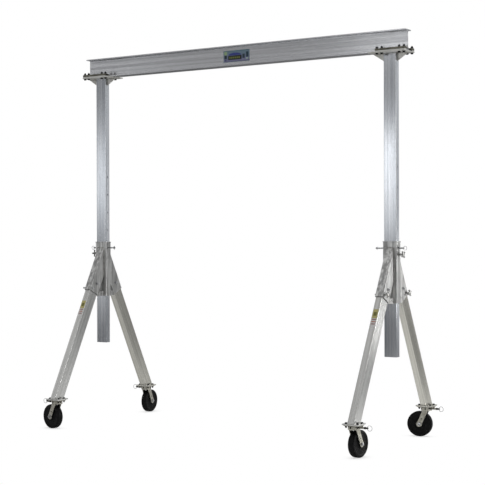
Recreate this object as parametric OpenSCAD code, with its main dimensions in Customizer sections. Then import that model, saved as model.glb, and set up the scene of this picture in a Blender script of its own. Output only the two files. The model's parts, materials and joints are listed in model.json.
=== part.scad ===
// Portable gantry crane: an I-beam on two height-adjustable A-frames with swivel casters.
// Millimetres. +X runs along the beam, +Z is up. The origin is on the floor under the
// middle of the beam. The front is towards -Y, and "outward" is away from mid-span.

/* [Beam] */
// Length of the beam
beam_length = 3048; // [2700:10:3600]
// Depth of the beam, flange face to flange face
beam_depth = 160; // [130:1:200]
// Width of both flanges
flange_width = 101.6; // [80:0.1:125]
// Thickness of each flange
flange_thickness = 8; // [5:0.5:12]
// Thickness of the web
web_thickness = 5; // [4:0.5:8]
// Radius of the fillets between web and flanges
web_fillet = 6; // [3:0.5:10]
// Distance between the two masts, centre to centre
mast_spacing = 2770; // [2200:10:3000]

/* [Mast] */
// Length of a mast tube
mast_length = 2280; // [2100:10:2700]
// Wide side of the mast and leg tubes
tube_wide = 101.6; // [90:0.1:120]
// Narrow side of the mast and leg tubes
tube_narrow = 50.8; // [45:0.1:65]
// Wall of the mast and leg tubes
tube_wall = 6.35; // [4:0.05:8]
// Outer corner radius of every tube
tube_corner = 2.5; // [1:0.5:5]
// Distance from the mast's top to its uppermost height hole
top_hole_drop = 853; // [700:1:1100]
// Distance from one height hole to the next
hole_pitch = 152.4; // [100:0.1:160]
// Number of height holes in a mast
hole_count = 7; // [5:1:7]
// Height hole in use at rest, counted from the top
pinned_hole = 5; // [4:1:5]

/* [A-frame] */
// Distance between the feet of one A-frame, measured at the leg centre lines
base_depth = 1220; // [1000:10:1500]
// Lean of each leg from the vertical, in degrees
leg_tilt = 27.3; // [24:0.1:32]
// Distance down a leg's centre line from the apex to the mouth of its socket
socket_reach = 360; // [320:1:440]
// Length of leg inside its socket
leg_grip = 172; // [120:1:174]
// Wall of the sleeve and the sockets
head_wall = 6.35; // [4:0.05:9]
// Clearance on each side between a tube and what it slides in
slide_clearance = 0.8; // [0.3:0.1:1]
// Height of the sleeve's top over the apex where the leg centre lines meet
sleeve_rise = 113; // [95:1:150]
// Distance from the apex down to the sleeve's lower end
sleeve_drop = 353; // [300:1:420]
// How far the rim round the sleeve's top stands proud
rim_proud = 3.5; // [1:0.5:6]
// Height of that rim
rim_height = 8; // [4:1:15]
// Height of the strips that tie each socket to the sleeve's lower end
tie_height = 40; // [25:1:60]

/* [Saddle] */
// Length of the plate under the beam
saddle_length = 300; // [260:1:380]
// Width of that plate
saddle_width = 178; // [165:1:220]
// Thickness of that plate
saddle_thickness = 9.5; // [6:0.5:16]
// Height of the gussets under the plate
gusset_height = 62; // [40:1:100]
// Thickness of the gussets
gusset_thickness = 8; // [5:0.5:12]
// Length of each clamp bar beside the flange
clamp_length = 246; // [236:1:260]
// How far the clamp bars sit outward of the mast's centre
clamp_offset = 27; // [0:1:27]
// Width of a clamp bar
clamp_width = 34; // [28:1:40]
// Thickness of a clamp bar's lip over the flange
clamp_lip = 15; // [5:0.5:20]
// How far the lip reaches over the flange
clamp_reach = 12; // [8:1:16]
// Distance from the clamp bar's middle to its outer pair of bolts
clamp_bolt_far = 112; // [100:1:112]
// Distance from the clamp bar's middle to its inner pair of bolts
clamp_bolt_near = 72; // [50:1:74]
// Diameter of the clamp bolts
clamp_bolt_d = 12; // [10:1:14]

/* [Pins and knobs] */
// Diameter of the height pins
height_pin_d = 12.7; // [10:0.1:16]
// Distance from the sleeve's top down to the height pin
height_pin_drop = 52; // [40:1:52]
// Distance from the height pin down to the clamping knob's screw
knob_drop = 48; // [48:1:70]
// Radius over the lobes of a four-lobe knob
knob_radius = 31; // [24:1:31]
// Diameter of the clamping screw
knob_screw_d = 10; // [8:1:12]
// Diameter of the leg pins
leg_pin_d = 10; // [8:0.5:12.7]
// Distance up the leg from the socket's mouth to the leg pin
leg_pin_rise = 25; // [22:1:35]
// Distance of the leg pin outward from the leg's centre line
leg_pin_offset = 36; // [28:1:37]
// Distance up the leg from the socket's mouth to the leg bolt
leg_bolt_rise = 83; // [70:1:110]
// Diameter of the leg bolts
leg_bolt_d = 12; // [10:1:14]
// Radial running clearance of pins, screws and axles
running_clearance = 0.05; // [0.02:0.01:0.1]

/* [Feet and casters] */
// Side of the square foot plate welded to each leg
foot_side = 127; // [120:1:150]
// Thickness of the foot plate
foot_thickness = 9.5; // [6:0.5:14]
// Height of a caster, floor to mounting face
caster_height = 241; // [236:1:270]
// Diameter of a wheel
wheel_d = 200; // [170:0.1:208]
// Width of a wheel's tread
wheel_width = 50.8; // [40:0.1:58]
// Horizontal distance from the swivel axis to the axle
caster_trail = 52; // [45:1:60]
// Length of the caster's mounting plate, along the beam
caster_plate_length = 114.3; // [110:0.1:122]
// Width of the caster's mounting plate
caster_plate_width = 101.6; // [92:0.1:118]
// Thickness of the caster's mounting plate
caster_plate_thickness = 6.35; // [5:0.05:9]
// Spacing of the mounting bolts along the beam
caster_bolt_x = 92.1; // [90:0.1:96]
// Spacing of the mounting bolts across the beam
caster_bolt_y = 66.7; // [62:0.1:76]
// Diameter of the mounting bolts
caster_bolt_d = 10; // [8:1:11]
// Diameter of the axle bolt
axle_d = 12.7; // [10:0.1:16]
// Thickness of the fork's side plates
fork_thickness = 5; // [4:0.5:7]
// Width of the fork's side plates
fork_width = 38; // [32:1:44]
// Diameter of the round eye at a side plate's lower end
fork_eye_d = 44; // [40:1:52]
// Radius of the swivel ring that the lock plunger rides on
swivel_radius = 44; // [40:1:46]
// Direction in which the left front wheel trails, in degrees from +X
left_front_swivel = 170.8; // [0:0.1:360]
// Direction in which the left rear wheel trails
left_rear_swivel = 93.7; // [0:0.1:360]
// Direction in which the right front wheel trails
right_front_swivel = 84; // [0:0.1:360]
// Direction in which the right rear wheel trails
right_rear_swivel = 192; // [0:0.1:360]

/* [Labels] */
// Length of the rating label on the beam's web
beam_label_length = 250; // [150:5:400]
// Height of the rating label
beam_label_height = 93; // [50:1:120]
// Length of the warning label on each front leg
leg_label_length = 140; // [80:1:200]
// Width of the warning label
leg_label_width = 40; // [20:1:44]
// Distance from a socket's mouth down the leg to its warning label
leg_label_gap = 100; // [10:5:200]
// Thickness of the labels
label_thickness = 0.5; // [0.3:0.1:1]

/* [Hidden] */
$fn = 48;

// Which side of the crane, and which end of an A-frame
LEFT = -1;
RIGHT = 1;
FRONT = -1;
REAR = 1;

// Cuts run past the faces that they break by this much
past = 1;

// A-frame: the leg centre lines meet over the middle of the sleeve
foot_top = caster_height + foot_thickness;
foot_y = base_depth / 2;
apex_z = foot_top + foot_y / tan(leg_tilt);
leg_to_apex = foot_y / sin(leg_tilt);
socket_mouth = leg_to_apex - socket_reach;
leg_length = socket_mouth + leg_grip;

// Sleeve and sockets wrap the tubes
fit_wide = tube_wide + 2 * slide_clearance;
fit_narrow = tube_narrow + 2 * slide_clearance;
head_wide = fit_wide + 2 * head_wall;
head_narrow = fit_narrow + 2 * head_wall;
head_corner = tube_corner + head_wall / 2;
sleeve_top = apex_z + sleeve_rise;
sleeve_bottom = apex_z - sleeve_drop;

// Hole in each tie strip, as a share of the strip's reach from the mast
tie_hole_along = 0.62;
tie_hole_r = 6;

// Levels of the pins, the mast and the beam
height_pin_z = sleeve_top - height_pin_drop;
knob_z = height_pin_z - knob_drop;
mast_top = height_pin_z + (pinned_hole - 1) * hole_pitch + top_hole_drop;
mast_bottom = mast_top - mast_length;
saddle_top = mast_top + saddle_thickness;
beam_top = saddle_top + beam_depth;

// The gussets stop short of the plate's ends
gusset_inset = 3;

// Clamp bars lie on the saddle plate, against the edges of the lower flange
clamp_gap = 0.3;
clamp_inner = flange_width / 2 + clamp_gap;
clamp_top = saddle_top + flange_thickness + clamp_lip;
clamp_bolt_y = clamp_inner + clamp_width / 2;
clamp_bolt_x = [for (s = [-1, 1]) for (d = [clamp_bolt_far, clamp_bolt_near]) clamp_offset + s * d];

// Fasteners: hexagon across the flats, head height and nut height for a bolt diameter
function hex_flats(d) = 1.5 * d;
function head_height(d) = 0.65 * d;
function nut_height(d) = 0.85 * d;
function washer_thickness(d) = 0.2 * d;
washer_ratio = 2.1;
bolt_hole_clearance = 0.3;
thread_stick_out = 6;

// Pull rings
height_ring_radius = 14.5;
lock_ring_radius = 19;
ring_wire = 1.6;
ring_hole = 3.3;

// Height pin, measured outward from the mast's centre plane
height_pin_tip = -(head_wide / 2 + 74);
height_pin_end = head_wide / 2 + 45;
pin_collar_r = 9.5;
pin_collar_t = 5;
pin_seat_gap = 0.3;
pin_chamfer = 2;
fork_slot_w = 3;
fork_slot_depth = 10;
keeper_outer_r = 9.5;
keeper_length = 9;
keeper_back = 6;
prong_length = 13;
prong_size = 3;
prong_spread = 38;
prong_root = 1;

// Clamping knob, measured outward from the sleeve's face
knob_boss_r = 12;
knob_boss_t = 8;
knob_neck_r = 9;
knob_hub_r = 13;
knob_hub_start = 13;
knob_lobe_start = 31;
knob_lobe_t = 15;
knob_lobe_r = 8;
knob_arm_w = 11;
screw_tip_gap = 0.3;

// Leg pins stand out of the sockets on both sides
leg_pin_tip = 15;
leg_pin_head = 34;
leg_pin_head_r = 7;
leg_pin_collar_r = 8.5;
leg_knob_radius = 28;
leg_knob_start = 20;

// Caster, from the mounting plate down
swivel_gap = 0.25;
caster_plate_bottom = caster_height - caster_plate_thickness;
race_radius = 38;
race_height = 3.4;
race_bottom = caster_plate_bottom - race_height;
ring_top = race_bottom - swivel_gap;
ring_height = 15;
crown_thickness = 9;
crown_bottom = ring_top - ring_height - crown_thickness;
kingpin_r = 8;
kingpin_head_r = 13;
kingpin_head_t = 5;
kingpin_head_bottom = crown_bottom - swivel_gap - kingpin_head_t;
axle_z = wheel_d / 2;
hub_clearance = 0.3;
hub_proud = 4;
hub_width = wheel_width + 2 * hub_proud;
hub_r = 27;
fork_inner = hub_width / 2 + hub_clearance;
fork_outer = fork_inner + fork_thickness;
// The side plates lean from the axle up to a point just behind the swivel axis
fork_top_offset = 4;
fork_lean = atan2(caster_trail - fork_top_offset, crown_bottom - axle_z);
fork_hole_up = 46;
fork_hole_r = 4.5;
notch_width = 11;
notch_depth = 7;
tread_round = 9;
wheel_recess = 5;
recess_inner = 34;
recess_outer = 80;

// Swivel lock, measured outward from the swivel axis
lock_z = ring_top - ring_height / 2;
lock_rod_r = 4;
lock_barrel_r = 7.5;
lock_barrel_start = swivel_radius + 4;
lock_barrel_end = 97;
lock_cap_r = 6.5;
lock_cap_end = 113;
lock_tip_gap = 0.3;

// ---------------------------------------------------------------- placing

// Moves to a mast with +X pointing outward
module at_mast(side) {
    translate([side * mast_spacing / 2, 0, 0])
        if (side == LEFT) mirror([1, 0, 0]) children();
        else children();
}

// Turns a leg's place from the rear to the front of its A-frame
module at_end(end) {
    if (end == FRONT) mirror([0, 1, 0]) children();
    else children();
}

// Moves to a leg's foot, with +Z up the leg and +Y away from the mast
module along_leg() {
    translate([0, foot_y, foot_top]) rotate([leg_tilt, 0, 0]) children();
}

// Moves to a caster's swivel axis on the floor
module at_foot(end) {
    translate([0, end * foot_y, 0]) children();
}

// Points +Z outward along +X
module outward() {
    rotate([0, 90, 0]) children();
}

// ---------------------------------------------------------------- shapes

// Rectangle with round corners, centred
module round_rect(w, d, r) {
    square([w - 2 * r, d], center = true);
    square([w, d - 2 * r], center = true);
    for (x = [-1, 1]) for (y = [-1, 1])
        translate([x * (w / 2 - r), y * (d / 2 - r)]) circle(r);
}

// Rectangular tube standing on the origin
module tube(w, d, wall, r, length) {
    linear_extrude(length) difference() {
        round_rect(w, d, r);
        square([w - 2 * wall, d - 2 * wall], center = true);
    }
}

// Hexagonal prism standing on the origin, given across its flats
module hexagon(flats, h) {
    cylinder(d = flats / cos(30), h = h, $fn = 6);
}

// Bolt hanging from its washer at the origin: head up, shank down through a grip, nut below
module bolt_up(d, grip) {
    washer = washer_thickness(d);
    translate([0, 0, washer]) hexagon(hex_flats(d), head_height(d));
    translate([0, 0, -grip - washer - nut_height(d) - thread_stick_out])
        cylinder(d = d, h = grip + 2 * washer + nut_height(d) + thread_stick_out);
}

// Washer and nut for the same bolt, as solids apart from it
module washer_at(d, z) {
    translate([0, 0, z]) difference() {
        cylinder(d = washer_ratio * d, h = washer_thickness(d));
        translate([0, 0, -past])
            cylinder(d = d + 2 * running_clearance, h = washer_thickness(d) + 2 * past);
    }
}

module nut_at(d, z) {
    translate([0, 0, z]) difference() {
        hexagon(hex_flats(d), nut_height(d));
        translate([0, 0, -past])
            cylinder(d = d + 2 * running_clearance, h = nut_height(d) + 2 * past);
    }
}

// Complete fastener: head on the origin's upper side, nut under the grip
module fastener(d, grip) {
    bolt_up(d, grip);
    washer_at(d, 0);
    washer_at(d, -grip - washer_thickness(d));
    nut_at(d, -grip - washer_thickness(d) - nut_height(d));
}

module bolt_hole(d, length) {
    translate([0, 0, -past]) cylinder(d = d + 2 * bolt_hole_clearance, h = length + 2 * past);
}

// Wire ring in the XZ plane, centred
module wire_ring(radius) {
    rotate([90, 0, 0]) rotate_extrude() translate([radius, 0]) circle(ring_wire);
}

// Four-lobe grip standing on the origin
module four_lobes(radius, thickness) {
    lobe_at = radius - knob_lobe_r;
    for (a = [0 : 90 : 270]) rotate([0, 0, a]) {
        translate([0, -knob_arm_w / 2, 0]) cube([lobe_at, knob_arm_w, thickness]);
        translate([lobe_at, 0, 0]) cylinder(r = knob_lobe_r, h = thickness);
    }
    cylinder(r = knob_hub_r, h = thickness);
}

// ---------------------------------------------------------------- beam and saddles

module beam_profile() {
    inner = beam_depth - 2 * flange_thickness;
    for (s = [-1, 1])
        translate([0, s * (beam_depth - flange_thickness) / 2])
            square([flange_width, flange_thickness], center = true);
    difference() {
        square([web_thickness + 2 * web_fillet, inner + past], center = true);
        for (x = [-1, 1])
            translate([x * (web_thickness / 2 + web_fillet), 0]) {
                square([2 * web_fillet, inner - 2 * web_fillet], center = true);
                for (y = [-1, 1]) translate([0, y * (inner / 2 - web_fillet)]) circle(web_fillet);
            }
    }
}

module beam() {
    color("silver")
        translate([-beam_length / 2, 0, saddle_top + beam_depth / 2])
            rotate([90, 0, 90]) linear_extrude(beam_length) beam_profile();
}

// Thin plate on the front of the web, at mid-span
module beam_label() {
    color("steelblue")
        translate([-beam_label_length / 2, -web_thickness / 2 - label_thickness,
                   saddle_top + (beam_depth - beam_label_height) / 2])
            cube([beam_label_length, label_thickness, beam_label_height]);
}

module clamp_bolt_holes(length) {
    for (x = clamp_bolt_x) for (y = [-1, 1])
        translate([x, y * clamp_bolt_y, 0]) bolt_hole(clamp_bolt_d, length);
}

// Plate under the beam with a gusset to each side of the mast
module saddle(side) {
    color("silver") at_mast(side) {
        difference() {
            translate([-saddle_length / 2, -saddle_width / 2, mast_top])
                cube([saddle_length, saddle_width, saddle_thickness]);
            translate([0, 0, mast_top]) clamp_bolt_holes(saddle_thickness);
        }
        for (s = [0, 1]) mirror([s, 0, 0])
            translate([tube_wide / 2, gusset_thickness / 2, mast_top]) rotate([90, 0, 0])
                linear_extrude(gusset_thickness)
                    polygon([[0, 0], [(saddle_length - tube_wide) / 2 - gusset_inset, 0],
                             [0, -gusset_height]]);
    }
}

// Two bars that hold the lower flange down on the plate
module clamp_bars(side) {
    color("gainsboro") at_mast(side)
        for (y = [0, 1]) mirror([0, y, 0]) difference() {
            translate([clamp_offset - clamp_length / 2, 0, 0]) {
                translate([0, clamp_inner, saddle_top])
                    cube([clamp_length, clamp_width, clamp_top - saddle_top]);
                translate([0, clamp_inner - clamp_gap - clamp_reach, saddle_top + flange_thickness])
                    cube([clamp_length, clamp_reach + clamp_gap + past, clamp_lip]);
            }
            translate([0, 0, saddle_top]) clamp_bolt_holes(clamp_top - saddle_top);
        }
}

// Hexagon bolts with their heads under the plates and their nuts on the bars
module clamp_bolts() {
    color("dimgray")
        for (side = [LEFT, RIGHT]) at_mast(side)
            for (x = clamp_bolt_x) for (y = [-1, 1])
                translate([x, y * clamp_bolt_y, mast_top]) mirror([0, 0, 1])
                    fastener(clamp_bolt_d, clamp_top - mast_top);
}

// ---------------------------------------------------------------- masts

module mast(side) {
    color("silver") at_mast(side) difference() {
        translate([0, 0, mast_bottom])
            tube(tube_wide, tube_narrow, tube_wall, tube_corner, mast_length);
        for (k = [0 : hole_count - 1])
            translate([-tube_wide, 0, mast_top - top_hole_drop - k * hole_pitch]) outward()
                cylinder(d = height_pin_d + 2 * running_clearance, h = 2 * tube_wide);
    }
}

// ---------------------------------------------------------------- A-frame head

// Outside of one leg socket, from its mouth to the sleeve
module socket_body() {
    intersection() {
        along_leg() translate([0, 0, socket_mouth])
            linear_extrude(2 * socket_reach) round_rect(head_narrow, head_wide, head_corner);
        translate([-head_narrow, 0, sleeve_bottom - socket_reach])
            cube([2 * head_narrow, foot_y, sleeve_top - sleeve_bottom + socket_reach]);
    }
}

// Room for the leg in its socket, up to the sleeve's wall
module socket_bore() {
    difference() {
        along_leg() translate([-fit_narrow / 2, -fit_wide / 2, socket_mouth - past])
            cube([fit_narrow, fit_wide, 2 * socket_reach]);
        translate([-head_wide, -foot_y, sleeve_bottom - socket_reach])
            cube([2 * head_wide, foot_y + head_narrow / 2, 3 * socket_reach]);
    }
}

// Strips that close the foot of the gap between socket and sleeve
module tie_strips() {
    strip_reach = foot_y - socket_mouth * sin(leg_tilt) - head_wide / 2 * cos(leg_tilt);
    for (x = [-head_narrow / 2, head_narrow / 2 - head_wall])
        translate([x, 0, sleeve_bottom]) difference() {
            cube([head_wall, strip_reach + head_wall, tie_height]);
            translate([-past, strip_reach * tie_hole_along, tie_height / 2]) outward()
                cylinder(r = tie_hole_r, h = head_wall + 2 * past);
        }
}

// Cross hole through both sides of a socket, at a place on the leg
module leg_cross_hole(d, rise, offset) {
    along_leg() translate([-head_wide, offset, socket_mouth + rise]) outward()
        cylinder(d = d, h = 2 * head_wide);
}

module head(side) {
    color("silver") at_mast(side) difference() {
        union() {
            translate([0, 0, sleeve_bottom]) linear_extrude(sleeve_top - sleeve_bottom)
                round_rect(head_wide, head_narrow, head_corner);
            translate([0, 0, sleeve_top - rim_height]) linear_extrude(rim_height)
                round_rect(head_wide + 2 * rim_proud, head_narrow + 2 * rim_proud,
                           head_corner + rim_proud);
            for (end = [FRONT, REAR]) at_end(end) {
                difference() {
                    union() {
                        socket_body();
                        tie_strips();
                    }
                    socket_bore();
                }
            }
            translate([head_wide / 2 - past, 0, knob_z]) outward()
                cylinder(r = knob_boss_r, h = knob_boss_t + past);
        }
        translate([0, 0, sleeve_bottom - past])
            linear_extrude(sleeve_top - sleeve_bottom + 2 * past)
                square([fit_wide, fit_narrow], center = true);
        translate([-head_wide, 0, height_pin_z]) outward()
            cylinder(d = height_pin_d + 2 * running_clearance, h = 2 * head_wide);
        translate([0, 0, knob_z]) outward()
            cylinder(d = knob_screw_d + 2 * running_clearance, h = head_wide);
        for (end = [FRONT, REAR]) at_end(end) {
            leg_cross_hole(leg_bolt_d + 2 * bolt_hole_clearance, leg_bolt_rise, 0);
            leg_cross_hole(leg_pin_d + 2 * running_clearance, leg_pin_rise, leg_pin_offset);
        }
    }
}

// ---------------------------------------------------------------- legs

// Leg tube with its foot plate
module leg(side, end) {
    color("silver") at_mast(side) at_end(end) difference() {
        union() {
            difference() {
                along_leg() translate([0, 0, -tube_wide])
                    tube(tube_narrow, tube_wide, tube_wall, tube_corner, leg_length + tube_wide);
                translate([-tube_wide, 0, foot_top - foot_side - foot_thickness])
                    cube([2 * tube_wide, 2 * foot_y, foot_side + foot_thickness]);
            }
            translate([-foot_side / 2, foot_y - foot_side / 2, caster_height])
                cube([foot_side, foot_side, foot_thickness]);
        }
        leg_cross_hole(leg_bolt_d + 2 * bolt_hole_clearance, leg_bolt_rise, 0);
        leg_cross_hole(leg_pin_d + 2 * running_clearance, leg_pin_rise, leg_pin_offset);
        translate([0, foot_y, caster_height]) caster_bolt_holes(foot_thickness);
    }
}

// Bolts through the sockets, heads outward
module leg_bolts(side) {
    color("dimgray") at_mast(side)
        for (end = [FRONT, REAR]) at_end(end)
            along_leg() translate([head_narrow / 2, 0, socket_mouth + leg_bolt_rise]) outward()
                fastener(leg_bolt_d, head_narrow);
}

// Warning label on the outer face of a front leg, a short way under its socket
module leg_label(side) {
    color("gold") at_mast(side) at_end(FRONT) along_leg()
        translate([-leg_label_width / 2, tube_wide / 2, socket_mouth - leg_label_gap - leg_label_length])
            cube([leg_label_width, label_thickness, leg_label_length]);
}

// ---------------------------------------------------------------- pins and knobs

// Pin with a collar, a pull ring at its outer end and a slotted tip
module height_pin(side) {
    color("lightgray") at_mast(side) translate([0, 0, height_pin_z]) {
        difference() {
            union() {
                translate([height_pin_tip, 0, 0]) outward() {
                    cylinder(d1 = height_pin_d - 2 * pin_chamfer, d2 = height_pin_d, h = pin_chamfer);
                    translate([0, 0, pin_chamfer])
                        cylinder(d = height_pin_d, h = height_pin_end - height_pin_tip - pin_chamfer);
                }
                translate([head_wide / 2 + pin_seat_gap, 0, 0]) outward()
                    cylinder(r = pin_collar_r, h = pin_collar_t);
            }
            translate([height_pin_tip - past, -height_pin_d, -fork_slot_w / 2])
                cube([fork_slot_depth + past, 2 * height_pin_d, fork_slot_w]);
            translate([height_pin_end - 2 * ring_hole, 0, -height_pin_d])
                cylinder(r = ring_hole, h = 2 * height_pin_d);
        }
        translate([height_pin_end - 2 * ring_hole + height_ring_radius, 0, 0])
            wire_ring(height_ring_radius);
    }
}

// Snap keeper on the pin's tip: a collar with two spread prongs
module pin_keeper(side) {
    turn = side == LEFT ? 0 : 90;
    color("darkgray") at_mast(side)
        translate([height_pin_tip + keeper_back + keeper_length, 0, height_pin_z])
            rotate([turn, 0, 0]) rotate([0, -90, 0]) {
                difference() {
                    cylinder(r = keeper_outer_r, h = keeper_length);
                    translate([0, 0, -past])
                        cylinder(d = height_pin_d + 2 * running_clearance,
                                 h = keeper_length + 2 * past);
                }
                for (s = [0, 1]) mirror([s, 0, 0])
                    translate([keeper_outer_r - prong_size, -prong_size / 2, prong_root])
                        rotate([0, prong_spread, 0])
                            cube([prong_size, prong_size, prong_length]);
            }
}

// Four-lobe knob whose screw bears on the mast through the sleeve
module clamp_knob(side) {
    turn = side == LEFT ? 0 : 38;
    screw_tip = tube_wide / 2 + screw_tip_gap;
    color("lightgray") at_mast(side) translate([0, 0, knob_z]) {
        translate([screw_tip, 0, 0]) outward()
            cylinder(d = knob_screw_d, h = head_wide / 2 + knob_hub_start - screw_tip + past);
        translate([head_wide / 2, 0, 0]) outward() {
            translate([0, 0, knob_hub_start])
                cylinder(r = knob_neck_r, h = knob_lobe_start - knob_hub_start + past);
            translate([0, 0, knob_lobe_start]) rotate([0, 0, turn])
                four_lobes(knob_radius, knob_lobe_t);
        }
    }
}

// Pin that locks a leg in its socket: a plain head on the left, a four-lobe grip on the right
module leg_pin(side, end) {
    face = head_narrow / 2;
    color("lightgray") at_mast(side) at_end(end) along_leg()
        translate([0, leg_pin_offset, socket_mouth + leg_pin_rise]) outward() {
            translate([0, 0, -face - leg_pin_tip])
                cylinder(d1 = leg_pin_d - 2 * pin_chamfer, d2 = leg_pin_d, h = pin_chamfer);
            translate([0, 0, -face - leg_pin_tip + pin_chamfer])
                cylinder(d = leg_pin_d, h = 2 * face + leg_pin_tip + pin_seat_gap + past);
            translate([0, 0, face + pin_seat_gap]) {
                cylinder(r = leg_pin_collar_r, h = pin_collar_t);
                cylinder(r = leg_pin_head_r, h = leg_pin_head);
            }
            if (side == RIGHT) translate([0, 0, face + leg_knob_start])
                four_lobes(leg_knob_radius, knob_lobe_t);
        }
}

// ---------------------------------------------------------------- casters

module caster_bolt_holes(length) {
    for (x = [-1, 1]) for (y = [-1, 1])
        translate([x * caster_bolt_x / 2, y * caster_bolt_y / 2, 0])
            bolt_hole(caster_bolt_d, length);
}

// Bolts that join the caster plates to the foot plates, heads up
module foot_bolts(side) {
    grip = foot_thickness + caster_plate_thickness;
    color("dimgray") at_mast(side)
        for (end = [FRONT, REAR]) at_foot(end)
            for (x = [-1, 1]) for (y = [-1, 1])
                translate([x * caster_bolt_x / 2, y * caster_bolt_y / 2, foot_top])
                    fastener(caster_bolt_d, grip);
}

// Mounting plate with the upper race, the kingpin and the lock's barrel
module caster_plate(side, end) {
    color("silver") at_mast(side) at_foot(end) {
        difference() {
            union() {
                translate([-caster_plate_length / 2, -caster_plate_width / 2, caster_plate_bottom])
                    cube([caster_plate_length, caster_plate_width, caster_plate_thickness]);
                translate([0, 0, race_bottom])
                    cylinder(r = race_radius, h = caster_plate_bottom - race_bottom + past);
                translate([lock_barrel_start, 0, lock_z]) outward()
                    cylinder(r = lock_barrel_r, h = lock_barrel_end - lock_barrel_start);
                translate([lock_barrel_start, -lock_barrel_r, lock_z])
                    cube([caster_plate_length / 2 - lock_barrel_start, 2 * lock_barrel_r,
                          caster_plate_bottom - lock_z + past]);
            }
            translate([0, 0, caster_plate_bottom]) caster_bolt_holes(caster_plate_thickness);
            translate([0, 0, lock_z]) outward()
                cylinder(r = lock_rod_r + running_clearance, h = lock_barrel_end + past);
        }
        translate([0, 0, kingpin_head_bottom]) {
            cylinder(r = kingpin_r, h = race_bottom - kingpin_head_bottom + past);
            cylinder(r = kingpin_head_r, h = crown_bottom - swivel_gap - kingpin_head_bottom);
        }
    }
}

// Turns a caster's swivelling parts so that +X is the way the wheel trails
module swivelled(side, end, angle) {
    translate([side * mast_spacing / 2, end * foot_y, 0]) rotate([0, 0, angle]) children();
}

// One side plate of a fork, from inside the crown down to the eye round the axle
module fork_side() {
    rise = (crown_bottom - axle_z) / cos(fork_lean);
    translate([caster_trail, fork_outer, axle_z]) rotate([90, 0, 0])
        linear_extrude(fork_thickness) difference() {
            union() {
                circle(d = fork_eye_d);
                intersection() {
                    rotate(fork_lean) translate([-fork_width / 2, 0])
                        square([fork_width, rise + fork_width]);
                    translate([-swivel_radius - caster_trail, 0])
                        square([3 * swivel_radius, crown_bottom + crown_thickness / 2 - axle_z]);
                }
            }
            circle(d = axle_d + 2 * running_clearance);
            rotate(fork_lean) translate([0, fork_hole_up]) circle(fork_hole_r);
        }
}

// Two side plates under a crown, whose upper part is the notched swivel ring
module fork(side, end, angle) {
    crown_height = crown_thickness + ring_height;
    color("gainsboro") swivelled(side, end, angle) {
        for (s = [0, 1]) mirror([0, s, 0]) fork_side();
        translate([0, 0, crown_bottom]) difference() {
            cylinder(r = swivel_radius, h = crown_height);
            translate([0, 0, -past])
                cylinder(r = kingpin_r + running_clearance, h = crown_height + 2 * past);
            for (a = [0 : 90 : 270]) rotate([0, 0, a])
                translate([swivel_radius - notch_depth, -notch_width / 2, crown_thickness])
                    cube([notch_depth + past, notch_width, ring_height + past]);
        }
    }
}

// Axle bolt across the fork, with its washers and nut
module axle(side, end, angle) {
    color("dimgray") swivelled(side, end, angle)
        translate([caster_trail, -fork_outer, axle_z]) rotate([90, 0, 0])
            fastener(axle_d, 2 * fork_outer);
}

// Half outline of a wheel: radius to the right, width upwards
module wheel_profile() {
    half = wheel_width / 2;
    rim = wheel_d / 2;
    for (s = [0, 1]) mirror([0, s]) {
        difference() {
            translate([axle_d / 2 + running_clearance, 0])
                square([rim - tread_round - axle_d / 2 - running_clearance, half]);
            translate([recess_inner, half - wheel_recess])
                square([recess_outer - recess_inner, wheel_recess + past]);
        }
        translate([rim - tread_round - past, 0]) square([tread_round + past, half - tread_round]);
        translate([rim - tread_round, half - tread_round]) circle(tread_round);
        translate([axle_d / 2 + running_clearance, 0])
            square([hub_r - axle_d / 2 - running_clearance, hub_width / 2]);
    }
}

module wheel(side, end, angle) {
    color("black") swivelled(side, end, angle)
        translate([caster_trail, 0, axle_z]) rotate([90, 0, 0]) rotate_extrude() wheel_profile();
}

// Spring plunger that drops into the notches of the swivel ring, with its pull ring
module swivel_lock(side, end) {
    tip = swivel_radius + lock_tip_gap;
    ring_at = lock_cap_end - 2 * ring_hole;
    color("dimgray") at_mast(side) at_foot(end) translate([0, 0, lock_z]) {
        difference() {
            union() {
                translate([tip, 0, 0]) outward()
                    cylinder(r = lock_rod_r, h = lock_barrel_end + pin_seat_gap + past - tip);
                translate([lock_barrel_end + pin_seat_gap, 0, 0]) outward()
                    cylinder(r = lock_cap_r, h = lock_cap_end - lock_barrel_end - pin_seat_gap);
            }
            translate([ring_at, 0, -lock_cap_r - past])
                cylinder(r = ring_hole, h = 2 * (lock_cap_r + past));
        }
        translate([ring_at + lock_ring_radius, 0, 0]) wire_ring(lock_ring_radius);
    }
}

// ---------------------------------------------------------------- nodes

module left_mast() { mast(LEFT); }
module right_mast() { mast(RIGHT); }
module left_saddle() { saddle(LEFT); }
module right_saddle() { saddle(RIGHT); }
module left_clamp_bars() { clamp_bars(LEFT); }
module right_clamp_bars() { clamp_bars(RIGHT); }
module left_head() { head(LEFT); }
module right_head() { head(RIGHT); }
module left_front_leg() { leg(LEFT, FRONT); }
module left_rear_leg() { leg(LEFT, REAR); }
module right_front_leg() { leg(RIGHT, FRONT); }
module right_rear_leg() { leg(RIGHT, REAR); }
module left_leg_bolts() { leg_bolts(LEFT); }
module right_leg_bolts() { leg_bolts(RIGHT); }
module left_leg_label() { leg_label(LEFT); }
module right_leg_label() { leg_label(RIGHT); }
module left_height_pin() { height_pin(LEFT); }
module right_height_pin() { height_pin(RIGHT); }
module left_pin_keeper() { pin_keeper(LEFT); }
module right_pin_keeper() { pin_keeper(RIGHT); }
module left_clamp_knob() { clamp_knob(LEFT); }
module right_clamp_knob() { clamp_knob(RIGHT); }
module left_front_leg_pin() { leg_pin(LEFT, FRONT); }
module left_rear_leg_pin() { leg_pin(LEFT, REAR); }
module right_front_leg_pin() { leg_pin(RIGHT, FRONT); }
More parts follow.
